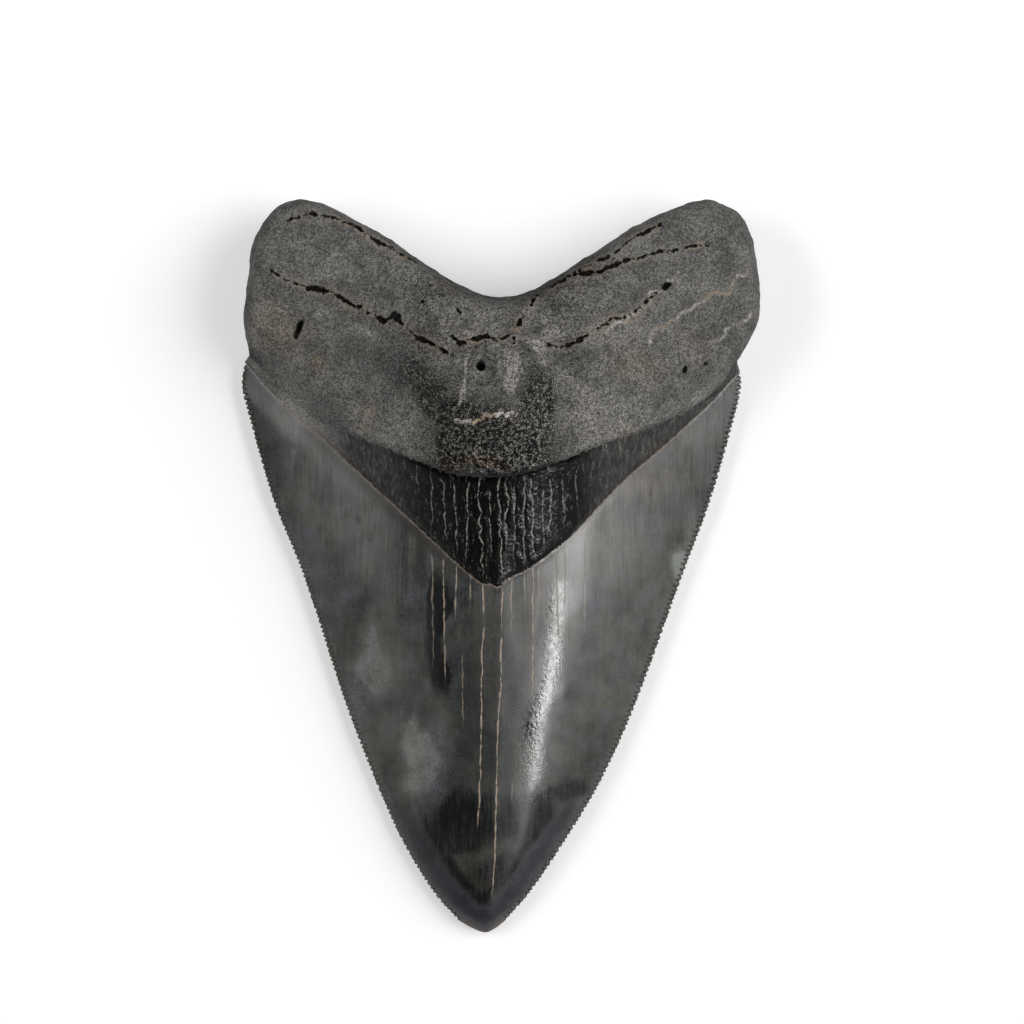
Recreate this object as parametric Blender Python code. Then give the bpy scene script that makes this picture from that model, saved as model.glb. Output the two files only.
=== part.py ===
"""Fossil megalodon tooth, lying on its flat outer face with its domed inner face up.

Metres, +Z up. The tip points along -Y and the two root lobes along +Y. The origin is under the
middle of the tooth, on the surface that it lies on. The tooth grew as one piece and is one solid.
"""

import math

import bmesh
import bpy
import numpy as np
from mathutils import Matrix, Vector
from mathutils.bvhtree import BVHTree

# ---------------------------------------------------------------- driving dimensions
LENGTH = 0.1216  # tip to the top of the root lobes
WIDTH = 0.0860  # across the root lobes
THICKNESS = 0.0240  # through the boss, where the root is thickest

# ---------------------------------------------------------------- plan
# Each point is (share of half the width, from the middle; share of the length, from the tip).
PLAN = {
    "tip": [(-0.165, 0.017), (-0.110, 0.006), (-0.060, 0.000), (-0.020, 0.006), (0.020, 0.017)],
    "crown_left": [
        (-0.165, 0.017), (-0.267, 0.058), (-0.384, 0.127), (-0.488, 0.209), (-0.605, 0.317),
        (-0.758, 0.482), (-0.879, 0.590), (-0.970, 0.700), (-1.000, 0.745), (-0.990, 0.778),
    ],
    "crown_right": [
        (0.020, 0.017), (0.121, 0.058), (0.253, 0.127), (0.391, 0.209), (0.528, 0.317),
        (0.698, 0.482), (0.812, 0.590), (0.902, 0.700), (0.930, 0.745), (0.924, 0.765),
    ],
    "enamel_end": [
        (-0.990, 0.778), (-0.928, 0.752), (-0.860, 0.727), (-0.747, 0.692), (-0.587, 0.640),
        (-0.404, 0.581), (-0.272, 0.538), (-0.166, 0.503), (-0.075, 0.477), (-0.040, 0.476),
        (-0.005, 0.472), (0.045, 0.485), (0.133, 0.501), (0.268, 0.539), (0.452, 0.608),
        (0.614, 0.658), (0.802, 0.718), (0.924, 0.765),
    ],
    "root_start": [
        (-0.968, 0.787), (-0.840, 0.742), (-0.700, 0.700), (-0.563, 0.678), (-0.307, 0.641),
        (-0.172, 0.624), (0.019, 0.621), (0.181, 0.636), (0.377, 0.663), (0.565, 0.687),
        (0.744, 0.717), (0.850, 0.748), (0.910, 0.779),
    ],
    "root_left": [
        (-0.968, 0.787), (-0.986, 0.821), (-0.991, 0.843), (-0.974, 0.891), (-0.951, 0.942),
        (-0.930, 0.958),
    ],
    "root_right": [
        (0.910, 0.779), (0.979, 0.823), (0.998, 0.850), (0.993, 0.887), (0.984, 0.920), (0.962, 0.953),
    ],
    "root_top": [
        (-0.930, 0.958), (-0.905, 0.973), (-0.851, 0.992), (-0.774, 1.000), (-0.677, 0.993),
        (-0.563, 0.973), (-0.426, 0.946), (-0.265, 0.905), (-0.133, 0.877), (0.000, 0.867),
        (0.119, 0.876), (0.260, 0.905), (0.442, 0.946), (0.570, 0.972), (0.693, 0.991),
        (0.798, 0.998), (0.879, 0.987), (0.933, 0.973), (0.962, 0.953),
    ],
}  # fmt: skip
OUTLINE = ("tip", "crown_left", "crown_right", "root_left", "root_right", "root_top")

# ---------------------------------------------------------------- heights
EDGE_AT_TIP = 0.0018  # the cutting edge above the surface, at the tip
EDGE_AT_SHOULDER = 0.0026  # and where it ends under the root
ROOT_RIM = 0.0065  # the root's widest line above the surface
# The crown's ridge above its cutting edge, at shares of the way from the tip to the enamel's end.
RIDGE_SHARES = (0.0, 0.05, 0.2, 0.4, 0.6, 0.8, 1.0)
RIDGE_HEIGHTS = (0.0, 0.0016, 0.0044, 0.0073, 0.0095, 0.0109, 0.0116)
DOME_POWER = 2.3  # how flat-topped the crown is from side to side
DOME_FLARE = 1.15  # how much it thins towards its edges
BAND_RISE = 0.0062  # climb of the bare band, in the middle
BAND_REACH = 0.80  # share of the half width over which the band climbs
LEDGE = 0.0011  # step from the band up to the root
LEDGE_END = 0.03  # share of the way up the root at which the step is complete
LEDGE_LEFT_END = -0.80  # share of the half width where the step has died out on the left
LEDGE_FADE = 0.25  # share of the half width over which it does
LOBE_HEIGHT = 0.0140
BOSS_REACH = 0.42  # share of the half width at which the boss has fallen to a third
CREST = 0.35  # share of the way up the root where it is highest
NOTCH_HEIGHT = 0.0125  # the root at the notch between its lobes, before its rim is rounded
NOTCH_SWELL = 0.0035  # how much higher that is in the middle
NOTCH_REACH = 0.5
UPPER_ROUND = 0.0026  # how far in from the rim the root's upper face is rounded
UNDER_ROUND = 0.0095  # and its under face
BLADE_HOLLOW = 0.0140  # how far in from the cutting edge the blade's under face meets the surface
# Swellings and hollows of the root's upper face: (x, y, radius, height).
RELIEF = [
    (-0.0032, 0.0345, 0.0065, -0.0007),
    (-0.0350, 0.0385, 0.0055, -0.0007),
    (-0.0250, 0.0300, 0.0080, 0.0005),
    (0.0230, 0.0330, 0.0085, 0.0006),
    (0.0080, 0.0400, 0.0060, -0.0005),
    (-0.0290, 0.0500, 0.0080, 0.0004),
    (0.0300, 0.0480, 0.0080, 0.0004),
]

# ---------------------------------------------------------------- serrations, cracks and pits
SERRATION_PITCH = 0.00085
SERRATION_DEPTH = 0.00040
SERRATION_CUTTER_RADIUS = 0.00045
CUTTER_REACH = 0.0040  # how far a cutter runs through the edge
FISSURE_RADIUS = 0.00050
FISSURE_STEP = 0.0017  # how closely a crack follows the surface
FISSURE_END = 0.45  # its radius at its ends, as a share of its radius midway
# The root's open cracks, as (x, y) along each.
FISSURES = {
    "left_fissure": [
        (-0.0353, 0.0472), (-0.0318, 0.0459), (-0.0278, 0.0452), (-0.0243, 0.0431),
        (-0.0192, 0.0404), (-0.0175, 0.0413), (-0.0152, 0.0391), (-0.0135, 0.0376),
        (-0.0105, 0.0364), (-0.0077, 0.0344),
    ],
    "right_fissure": [
        (0.0082, 0.0363), (0.0127, 0.0369), (0.0147, 0.0384), (0.0183, 0.0408), (0.0203, 0.0408),
        (0.0225, 0.0422), (0.0245, 0.0441), (0.0273, 0.0462),
    ],
    "right_notch_fissure": [
        (0.0072, 0.0457), (0.0097, 0.0467), (0.0127, 0.0481), (0.0159, 0.0484), (0.0188, 0.0497),
        (0.0218, 0.0505), (0.0266, 0.0519), (0.0320, 0.0529),
    ],
    "left_notch_fissure": [
        (-0.0275, 0.0574), (-0.0243, 0.0562), (-0.0198, 0.0532), (-0.0160, 0.0512), (-0.0105, 0.0482),
    ],
}  # fmt: skip
# Each pit is (x, y, half length, half width, turn in degrees, depth).
PITS = {
    "foramen": (-0.0033, 0.0332, 0.00075, 0.00075, 0, 0.0016),
    "slit": (-0.0332, 0.0393, 0.00130, 0.00060, 65, 0.0012),
    "lobe_pit": (0.0273, 0.0462, 0.00120, 0.00070, 30, 0.0010),
    "upper_shoulder_pit": (0.0305, 0.0325, 0.00090, 0.00055, 75, 0.0008),
    "lower_shoulder_pit": (0.0339, 0.0333, 0.00060, 0.00045, 20, 0.0007),
}

# ---------------------------------------------------------------- fineness
COLUMNS = 32
CROWN_ROWS = 24
BAND_ROWS = 5
ROOT_ROWS = 18
CROWN_CROWDING = 0.35  # 0 spaces the columns evenly and 1 crowds them towards the rims
ROOT_CROWDING = 0.85
CROWN_STRIP = 0.0012  # first column's distance in from the cutting edge
ROOT_STRIP = 0.0004
MOST_STRIP = 0.12  # the most of a row's width that the first column takes
NOTCH_CROWDING = 1.6  # 1 spaces the root's rows evenly and more crowds them towards the notch
CURVE_POINTS = 400
STRETCH_POINTS = 40  # points worked out between each two given ones
FLAT_ANGLE = math.radians(0.01)

ENAMEL_COLOUR = (0.035, 0.037, 0.040, 1)


def smooth_curve(points):
    """CURVE_POINTS points, evenly spread along the Catmull-Rom curve through the given ones."""
    p = np.array(points, float)
    p = np.vstack([2 * p[0] - p[1], p, 2 * p[-1] - p[-2]])
    t = np.linspace(0, 1, STRETCH_POINTS, endpoint=False)[:, None]
    stretches = [
        0.5 * (2 * b + (c - a) * t + (2 * a - 5 * b + 4 * c - d) * t**2 + (3 * b - a - 3 * c + d) * t**3)
        for a, b, c, d in zip(p, p[1:], p[2:], p[3:])
    ]
    line = np.vstack([*stretches, p[-2:-1]])
    steps = np.linalg.norm(np.diff(line, axis=0), axis=1)
    return at(line, np.linspace(0, 1, CURVE_POINTS), np.concatenate([[0], np.cumsum(steps)]) / steps.sum())


def at(line, shares, runs=None):
    """The points at these shares of the way along a line, evenly spread unless runs says how far along."""
    runs = np.linspace(0, 1, len(line)) if runs is None else runs
    return np.stack([np.interp(shares, runs, line[:, i]) for i in range(2)], axis=-1)


def plan_curves():
    """The outline and the lines across the tooth in metres, centred and filling WIDTH and LENGTH."""
    curves = {name: smooth_curve(np.array(points) * (WIDTH / 2, LENGTH)) for name, points in PLAN.items()}
    every = np.vstack([curves[name] for name in OUTLINE])
    low, high = every.min(0), every.max(0)
    fit = np.array([WIDTH, LENGTH]) / (high - low)
    return {name: (line - (low + high) / 2) * fit for name, line in curves.items()}


def patch_row(bottom, top, left, right, across, up):
    """One row of a Coons patch between four lines, at the share up, with a point at each share across."""
    a = across[:, None]
    lines = (1 - up) * at(bottom, across) + up * at(top, across)
    sides = (1 - a) * at(left, up) + a * at(right, up)
    corners = (1 - up) * ((1 - a) * bottom[0] + a * bottom[-1]) + up * ((1 - a) * top[0] + a * top[-1])
    return lines + sides - corners


def shares_across(strip, width, crowding):
    """Shares across a row: its two rims, and inner points that begin a strip's width in from them."""
    inset = min(strip / width, MOST_STRIP)
    even = np.linspace(0, 1, COLUMNS - 1)
    inner = (1 - crowding) * even + crowding * (0.5 - 0.5 * np.cos(even * math.pi))
    return np.concatenate([[0], inset + (1 - 2 * inset) * inner, [1]])


def distance_to(line, points):
    return np.linalg.norm(line[None] - points[:, None], axis=2).min(1)


def quarter_round(distance, radius):
    """0 at the rim and 1 from radius inwards, as a quarter circle."""
    return np.sqrt(1 - (1 - np.clip(distance / radius, 0, 1)) ** 2)


def soft_step(x):
    x = np.clip(x, 0, 1)
    return x * x * (3 - 2 * x)


def crown_height(side, share, edge):
    """The domed inner face. side runs from -1 to 1 across it, and edge is its cutting edge's height."""
    ridge = np.interp(share, RIDGE_SHARES, RIDGE_HEIGHTS)
    return edge + ridge * (1 - np.abs(side) ** DOME_POWER) ** DOME_FLARE


def band_top(side):
    return crown_height(side, 1, EDGE_AT_SHOULDER) + BAND_RISE * np.clip(1 - (side / BAND_REACH) ** 2, 0, 1)


def root_height(side, share, plan, distance):
    """The root's upper face: up the ledge to the crest and down to the notch, rounded at its rim."""
    start = band_top(side) + LEDGE * soft_step((side - LEDGE_LEFT_END) / LEDGE_FADE)
    crest = LOBE_HEIGHT + (THICKNESS - LOBE_HEIGHT) * np.exp(-((side / BOSS_REACH) ** 2))
    notch = NOTCH_HEIGHT + NOTCH_SWELL * np.exp(-((side / NOTCH_REACH) ** 2))
    if share < CREST:
        height = start + (crest - start) * math.sin(share / CREST * math.pi / 2)
    else:
        height = crest + (notch - crest) * (1 - math.cos((share - CREST) / (1 - CREST) * math.pi / 2))
    for x, y, radius, rise in RELIEF:
        height = height + rise * np.exp(-((np.linalg.norm(plan - (x, y), axis=1) / radius) ** 2))
    return ROOT_RIM + (height - ROOT_RIM) * quarter_round(distance, UPPER_ROUND)


def rows():
    """The tooth's rows from the tip to the notch: the plan points, and the heights above and below them."""
    c = plan_curves()
    rim_line = np.vstack([c[name] for name in OUTLINE])
    made = []
    for share in np.linspace(0, 1, CROWN_ROWS + 1):
        width = np.linalg.norm(at(c["crown_left"], share) - at(c["crown_right"], share))
        across = shares_across(CROWN_STRIP, width, CROWN_CROWDING)
        plan = patch_row(c["tip"], c["enamel_end"], c["crown_left"], c["crown_right"], across, share)
        rim = EDGE_AT_TIP + (EDGE_AT_SHOULDER - EDGE_AT_TIP) * share
        upper = crown_height(2 * across - 1, share, rim)
        under = rim * (1 - np.clip(distance_to(rim_line, plan) / BLADE_HOLLOW, 0, 1)) ** 2
        made.append((plan, upper, under))
    left_end = np.array([c["enamel_end"][0], c["root_start"][0]])
    right_end = np.array([c["enamel_end"][-1], c["root_start"][-1]])
    for share in np.linspace(0, 1, BAND_ROWS + 1)[1:]:
        strip = CROWN_STRIP + (ROOT_STRIP - CROWN_STRIP) * share
        across = shares_across(strip, WIDTH, CROWN_CROWDING + (ROOT_CROWDING - CROWN_CROWDING) * share)
        plan = patch_row(c["enamel_end"], c["root_start"], left_end, right_end, across, share)
        side = 2 * across - 1
        distance = distance_to(rim_line, plan)
        rim = EDGE_AT_SHOULDER + (ROOT_RIM - EDGE_AT_SHOULDER) * share
        low = crown_height(side, 1, EDGE_AT_SHOULDER)
        upper = low + (band_top(side) - low) * share
        upper = np.maximum(upper, rim)
        blade_under = (1 - np.clip(distance / BLADE_HOLLOW, 0, 1)) ** 2
        root_under = 1 - quarter_round(distance, UNDER_ROUND)
        made.append((plan, upper, rim * ((1 - share) * blade_under + share * root_under)))
    across = shares_across(ROOT_STRIP, WIDTH, ROOT_CROWDING)
    for step in np.linspace(0, 1, ROOT_ROWS):
        share = LEDGE_END + (1 - LEDGE_END) * (1 - (1 - step) ** NOTCH_CROWDING)
        plan = patch_row(c["root_start"], c["root_top"], c["root_left"], c["root_right"], across, share)
        distance = distance_to(rim_line, plan)
        upper = root_height(2 * across - 1, share, plan, distance)
        made.append((plan, upper, ROOT_RIM * (1 - quarter_round(distance, UNDER_ROUND))))
    return made


def tooth_mesh():
    """A closed loft: the rows' upper points and under points, which share the points of the rim."""
    made = rows()
    bm = bmesh.new()
    sheets = []
    for sheet in (1, 2):
        grid = []
        for row in made:
            plan, heights = row[0], row[sheet]
            grid.append([bm.verts.new((x, y, z)) for (x, y), z in zip(plan.tolist(), heights.tolist())])
        sheets.append(grid)
    upper, under = sheets
    last_row, last_column = len(made) - 1, COLUMNS
    for i in range(last_row + 1):
        for j in range(last_column + 1):
            if i in (0, last_row) or j in (0, last_column):
                upper[i][j].co.z = (made[i][1][j] + made[i][2][j]) / 2
                bm.verts.remove(under[i][j])
                under[i][j] = upper[i][j]
    for i in range(last_row):
        for j in range(last_column):
            bm.faces.new((upper[i][j], upper[i][j + 1], upper[i + 1][j + 1], upper[i + 1][j]))
            bm.faces.new((under[i][j], under[i + 1][j], under[i + 1][j + 1], under[i][j + 1]))
    low = Vector([min(v.co[axis] for v in bm.verts) for axis in range(3)])
    high = Vector([max(v.co[axis] for v in bm.verts) for axis in range(3)])
    fit = Vector((WIDTH / (high.x - low.x), LENGTH / (high.y - low.y), THICKNESS / (high.z - low.z)))
    bmesh.ops.translate(bm, verts=bm.verts, vec=(-(low.x + high.x) / 2, -(low.y + high.y) / 2, -low.z))
    bmesh.ops.scale(bm, verts=bm.verts, vec=fit)
    bmesh.ops.dissolve_limit(bm, angle_limit=FLAT_ANGLE, verts=bm.verts, edges=bm.edges)
    bmesh.ops.recalc_face_normals(bm, faces=bm.faces)
    return bm


def serration_cutter(curves):
    """Upright three-sided bars along both cutting edges, each with one corner pointing into the tooth."""
    bm = bmesh.new()
    for name, inward in (("crown_left", -1), ("crown_right", 1)):
        line = curves[name]
        length = np.linalg.norm(np.diff(line, axis=0), axis=1).sum()
        count = int(length / SERRATION_PITCH)
        for share in (np.arange(count) + 0.5) / count:
            x, y = at(line, share)
            ahead = at(line, min(share + 0.01, 1)) - at(line, max(share - 0.01, 0))
            facing = math.atan2(ahead[1], ahead[0]) + inward * math.pi / 2
            out = SERRATION_CUTTER_RADIUS - SERRATION_DEPTH
            place = Vector((x - out * math.cos(facing), y - out * math.sin(facing), EDGE_AT_SHOULDER))
            bmesh.ops.create_cone(
                bm,
                cap_ends=True,
                segments=3,
                radius1=SERRATION_CUTTER_RADIUS,
                radius2=SERRATION_CUTTER_RADIUS,
                depth=CUTTER_REACH,
                matrix=Matrix.Translation(place) @ Matrix.Rotation(facing - math.pi / 2, 4, "Z"),
            )
    return bm


def pit_cutter(surface):
    """A ball, drawn out and turned, sunk into the root at each pit."""
    bm = bmesh.new()
    for x, y, half_length, half_width, turn, depth in PITS.values():
        size = Matrix.Diagonal((half_length, half_width, depth, 1))
        spin = Matrix.Rotation(math.radians(turn), 4, "Z")
        place = Matrix.Translation((x, y, height_on(surface, x, y)))
        bmesh.ops.create_uvsphere(bm, u_segments=10, v_segments=6, radius=1, matrix=place @ spin @ size)
    return bm


def height_on(surface, x, y):
    return surface.ray_cast(Vector((x, y, 1)), Vector((0, 0, -1)))[0].z


def fissure_cutter(name, points, surface):
    """A thin tube laid along the root's surface, narrowing to its two ends."""
    curve = bpy.data.curves.new(name, "CURVE")
    curve.dimensions = "3D"
    curve.bevel_depth = FISSURE_RADIUS
    curve.bevel_resolution = 1
    curve.use_fill_caps = True
    corners = np.array(points)
    run = np.concatenate([[0], np.cumsum(np.linalg.norm(np.diff(corners, axis=0), axis=1))])
    count = round(run[-1] / FISSURE_STEP)
    spline = curve.splines.new("POLY")
    spline.points.add(count)
    for i, (x, y) in enumerate(at(corners, np.linspace(0, 1, count + 1), run / run[-1]).tolist()):
        spline.points[i].co = (x, y, height_on(surface, x, y), 1)
        midway = math.sin(math.pi * (i + 0.5) / (count + 1))
        spline.points[i].radius = FISSURE_END + (1 - FISSURE_END) * midway
    tube = bpy.data.objects.new(name, curve)
    bpy.context.scene.collection.objects.link(tube)
    bpy.context.view_layer.update()
    bm = bmesh.new()
    bm.from_mesh(bpy.data.meshes.new_from_object(tube.evaluated_get(bpy.context.evaluated_depsgraph_get())))
    bmesh.ops.remove_doubles(bm, verts=bm.verts, dist=1e-6)
    bpy.data.objects.remove(tube)
    return bm


def new_object(name, bm, collection):
    mesh = bpy.data.meshes.new(name)
    bm.to_mesh(mesh)
    bm.free()
    made = bpy.data.objects.new(name, mesh)
    collection.objects.link(made)
    return made


def cut(piece, cutter):
    cutter.hide_render = True
    cutter.display_type = "WIRE"
    boolean = piece.modifiers.new(cutter.name, "BOOLEAN")
    boolean.operation = "DIFFERENCE"
    boolean.solver = "EXACT"
    boolean.object = cutter


def fossil_enamel():
    material = bpy.data.materials.new("fossil_enamel")
    material.use_nodes = True
    shader = material.node_tree.nodes["Principled BSDF"]
    shader.inputs["Base Color"].default_value = ENAMEL_COLOUR
    shader.inputs["Roughness"].default_value = 0.35
    shader.inputs["Metallic"].default_value = 0.0
    return material


for old in list(bpy.data.objects):
    bpy.data.objects.remove(old)
parts = bpy.data.collections.new("megalodon_tooth")
cutters = bpy.data.collections.new("cutters")
for collection in (parts, cutters):
    bpy.context.scene.collection.children.link(collection)

form = tooth_mesh()
surface = BVHTree.FromBMesh(form)
tooth = new_object("tooth", form, parts)
tooth.data.materials.append(fossil_enamel())
cut(tooth, new_object("serration_cutter", serration_cutter(plan_curves()), cutters))
cut(tooth, new_object("pit_cutter", pit_cutter(surface), cutters))
for name, points in FISSURES.items():
    cut(tooth, new_object(name, fissure_cutter(name, points, surface), cutters))
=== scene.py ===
import itertools
import math

import bpy
import numpy as np
from mathutils import Matrix, Vector
from mathutils.kdtree import KDTree


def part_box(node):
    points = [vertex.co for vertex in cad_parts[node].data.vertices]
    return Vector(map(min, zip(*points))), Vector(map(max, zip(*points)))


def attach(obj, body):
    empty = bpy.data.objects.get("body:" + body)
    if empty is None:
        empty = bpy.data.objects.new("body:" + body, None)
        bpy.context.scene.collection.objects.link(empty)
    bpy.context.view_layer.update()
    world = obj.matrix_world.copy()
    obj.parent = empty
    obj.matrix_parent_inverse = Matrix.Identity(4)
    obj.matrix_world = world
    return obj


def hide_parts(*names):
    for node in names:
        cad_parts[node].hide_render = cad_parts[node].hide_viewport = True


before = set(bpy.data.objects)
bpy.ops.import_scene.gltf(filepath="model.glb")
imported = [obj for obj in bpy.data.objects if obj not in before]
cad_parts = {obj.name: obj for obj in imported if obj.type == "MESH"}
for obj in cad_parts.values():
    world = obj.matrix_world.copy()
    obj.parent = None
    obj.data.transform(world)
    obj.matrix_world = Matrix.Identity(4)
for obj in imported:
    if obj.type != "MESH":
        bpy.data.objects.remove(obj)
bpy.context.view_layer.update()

# --------------------------------------------------
# The tooth's body. Enamel, the bare band and the root grew as one piece and turned to stone as
# one piece. It starts as a flat sheet doubled over and sewn along its rim, which is divided more
# finely where there is more to shape, and is then bent into the tooth.
# --------------------------------------------------
box_low, box_high = (Vector(corner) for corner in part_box("tooth"))
WIDTH, LENGTH, THICKNESS = box_high - box_low

# Each point is (share of half the width, from the middle; share of the length, from the tip).
PLAN = {
    "tip": [(-0.165, 0.017), (-0.110, 0.006), (-0.060, 0.000), (-0.020, 0.006), (0.020, 0.017)],
    "crown_left": [
        (-0.165, 0.017), (-0.267, 0.058), (-0.384, 0.127), (-0.488, 0.209), (-0.605, 0.317),
        (-0.758, 0.482), (-0.879, 0.590), (-0.970, 0.700), (-1.000, 0.745), (-0.990, 0.778),
    ],
    "crown_right": [
        (0.020, 0.017), (0.121, 0.058), (0.253, 0.127), (0.391, 0.209), (0.528, 0.317),
        (0.698, 0.482), (0.812, 0.590), (0.902, 0.700), (0.930, 0.745), (0.924, 0.765),
    ],
    "enamel_end": [
        (-0.990, 0.778), (-0.928, 0.752), (-0.860, 0.727), (-0.747, 0.692), (-0.587, 0.640),
        (-0.404, 0.581), (-0.272, 0.538), (-0.166, 0.503), (-0.075, 0.477), (-0.040, 0.476),
        (-0.005, 0.472), (0.045, 0.485), (0.133, 0.501), (0.268, 0.539), (0.452, 0.608),
        (0.614, 0.658), (0.802, 0.718), (0.924, 0.765),
    ],
    "root_start": [
        (-0.968, 0.787), (-0.840, 0.742), (-0.700, 0.700), (-0.563, 0.678), (-0.307, 0.641),
        (-0.172, 0.624), (0.019, 0.621), (0.181, 0.636), (0.377, 0.663), (0.565, 0.687),
        (0.744, 0.717), (0.850, 0.748), (0.910, 0.779),
    ],
    "root_left": [
        (-0.968, 0.787), (-0.986, 0.821), (-0.991, 0.843), (-0.974, 0.891), (-0.951, 0.942),
        (-0.930, 0.958),
    ],
    "root_right": [
        (0.910, 0.779), (0.979, 0.823), (0.998, 0.850), (0.993, 0.887), (0.984, 0.920), (0.962, 0.953),
    ],
    "root_top": [
        (-0.930, 0.958), (-0.905, 0.973), (-0.851, 0.992), (-0.774, 1.000), (-0.677, 0.993),
        (-0.563, 0.973), (-0.426, 0.946), (-0.265, 0.905), (-0.133, 0.877), (0.000, 0.867),
        (0.119, 0.876), (0.260, 0.905), (0.442, 0.946), (0.570, 0.972), (0.693, 0.991),
        (0.798, 0.998), (0.879, 0.987), (0.933, 0.973), (0.962, 0.953),
    ],
    "under_enamel_end": [
        (-0.975, 0.783), (-0.840, 0.752), (-0.640, 0.722), (-0.420, 0.700), (-0.200, 0.686),
        (0.000, 0.681), (0.200, 0.688), (0.420, 0.704), (0.620, 0.727), (0.800, 0.752), (0.915, 0.772),
    ],
}
OUTLINE = ("tip", "crown_left", "crown_right", "root_left", "root_right", "root_top")
CURVE_POINTS = 1200

# Heights are measured from the table that the tooth lies on, and reaches in from the rim. Shares run
# from 0 to 1, or from -1 on the left to 1 on the right.
EDGE_AT_TIP = 0.0018
EDGE_AT_SHOULDER = 0.0026
ROOT_RIM = 0.0065
RIDGE_SHARES = (0.0, 0.05, 0.2, 0.4, 0.6, 0.8, 1.0)
RIDGE_HEIGHTS = (0.0, 0.0016, 0.0044, 0.0073, 0.0095, 0.0109, 0.0116)
DOME_POWER = 2.3
DOME_FLARE = 1.15
BEVEL_REACH = 0.0036
BEVEL_SHARES = (0.0, 0.3, 0.6, 1.0)
BEVEL_RISES = (0.0007, 0.0004, 0.0, -0.0004)
LEAST_SLOPE = 0.06
BAND_RISE = 0.0062
BAND_REACH = 0.80
LEDGE = 0.0011
LEDGE_END = 0.03
LEDGE_WIDTH = 0.02
LEDGE_LEFT_END = -0.80
LEDGE_FADE = 0.25
LIMB_BLEND = 0.10
LOBE_HEIGHT = 0.0140
BOSS_REACH = 0.42
CREST = 0.35
NOTCH_HEIGHT = 0.0125
NOTCH_SWELL = 0.0035
NOTCH_REACH = 0.5
UPPER_ROUND = 0.0026
UNDER_ROUND = 0.0095
BLADE_HOLLOW = 0.0140
# Low swells and hollows of the root: (x, y, radius, rise).
RELIEF = [
    (-0.0032, 0.0345, 0.0065, -0.0007),
    (-0.0350, 0.0385, 0.0055, -0.0007),
    (-0.0250, 0.0300, 0.0080, 0.0005),
    (0.0230, 0.0330, 0.0085, 0.0006),
    (0.0080, 0.0400, 0.0060, -0.0005),
    (-0.0290, 0.0500, 0.0080, 0.0004),
    (0.0300, 0.0480, 0.0080, 0.0004),
]

SERRATION_PITCH = 0.00085
SERRATION_DEPTH = 0.00046
SERRATION_FADE = 0.0015  # how far a notch runs in from the cutting edge

# Open cracks in the root: (half width, depth, [(x, y), ...]).
FISSURES = [
    (0.00050, 0.0010, [
        (-0.0378, 0.0487), (-0.0353, 0.0472), (-0.0318, 0.0459), (-0.0278, 0.0452), (-0.0243, 0.0431),
        (-0.0207, 0.0413), (-0.0192, 0.0404), (-0.0175, 0.0413), (-0.0152, 0.0391), (-0.0135, 0.0376),
        (-0.0105, 0.0364), (-0.0077, 0.0344),
    ]),
    (0.00020, 0.0006, [
        (0.0082, 0.0363), (0.0097, 0.0358), (0.0127, 0.0369), (0.0147, 0.0384), (0.0165, 0.0393),
        (0.0183, 0.0408), (0.0203, 0.0408), (0.0225, 0.0422), (0.0245, 0.0441), (0.0266, 0.0457),
    ]),
    (0.00029, 0.0008, [
        (0.0062, 0.0447), (0.0097, 0.0467), (0.0127, 0.0481), (0.0159, 0.0484), (0.0188, 0.0497),
        (0.0218, 0.0505), (0.0245, 0.0514), (0.0266, 0.0519), (0.0293, 0.0522), (0.0320, 0.0529),
        (0.0343, 0.0527),
    ]),
    (0.00016, 0.0004, [
        (0.0102, 0.0471), (0.0142, 0.0493), (0.0177, 0.0510), (0.0218, 0.0539), (0.0266, 0.0565),
    ]),
    (0.00016, 0.0005, [
        (-0.0243, 0.0562), (-0.0220, 0.0547), (-0.0198, 0.0532), (-0.0160, 0.0512), (-0.0105, 0.0482),
        (-0.0077, 0.0462), (-0.0052, 0.0454), (-0.0002, 0.0446),
    ]),
    (0.00020, 0.0005, [(0.0062, 0.0447), (0.0041, 0.0418), (0.0024, 0.0388), (0.0022, 0.0360)]),
    (0.00026, 0.0004, [
        (-0.0079, 0.0379), (-0.0066, 0.0366), (-0.0047, 0.0373), (-0.0022, 0.0378), (-0.0004, 0.0371),
        (0.0016, 0.0383),
    ]),
    (0.00002, 0.0003, [(-0.0352, 0.0571), (-0.0311, 0.0580), (-0.0275, 0.0574), (-0.0243, 0.0562)]),
]
# Pits in the root: (x, y, half length, half width, turn in degrees, depth).
PITS = [
    (-0.0033, 0.0332, 0.00105, 0.00100, 0, 0.0024),
    (-0.0332, 0.0393, 0.00190, 0.00075, 68, 0.0013),
    (0.0273, 0.0462, 0.00110, 0.00065, 30, 0.0011),
    (0.0305, 0.0325, 0.00085, 0.00045, 75, 0.0008),
    (0.0339, 0.0333, 0.00055, 0.00040, 20, 0.0007),
    (-0.0068, 0.0421, 0.00070, 0.00022, -55, 0.0005),
    (-0.0128, 0.0436, 0.00045, 0.00040, 0, 0.0005),
]


def curve_through(points):
    """A smooth (Catmull-Rom) line through the points, with CURVE_POINTS points evenly spread along it."""
    p = np.array(points, float)
    p = np.vstack([2 * p[0] - p[1], p, 2 * p[-1] - p[-2]])
    t = np.linspace(0, 1, 60, endpoint=False)[:, None]
    stretches = [
        0.5 * (2 * b + (c - a) * t + (2 * a - 5 * b + 4 * c - d) * t**2 + (3 * b - a - 3 * c + d) * t**3)
        for a, b, c, d in zip(p, p[1:], p[2:], p[3:])
    ]
    line = np.vstack([*stretches, p[-2:-1]])
    steps = np.linalg.norm(np.diff(line, axis=0), axis=1)
    runs = np.concatenate([[0], np.cumsum(steps)]) / steps.sum()
    return along(line, np.linspace(0, 1, CURVE_POINTS), runs)


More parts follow.
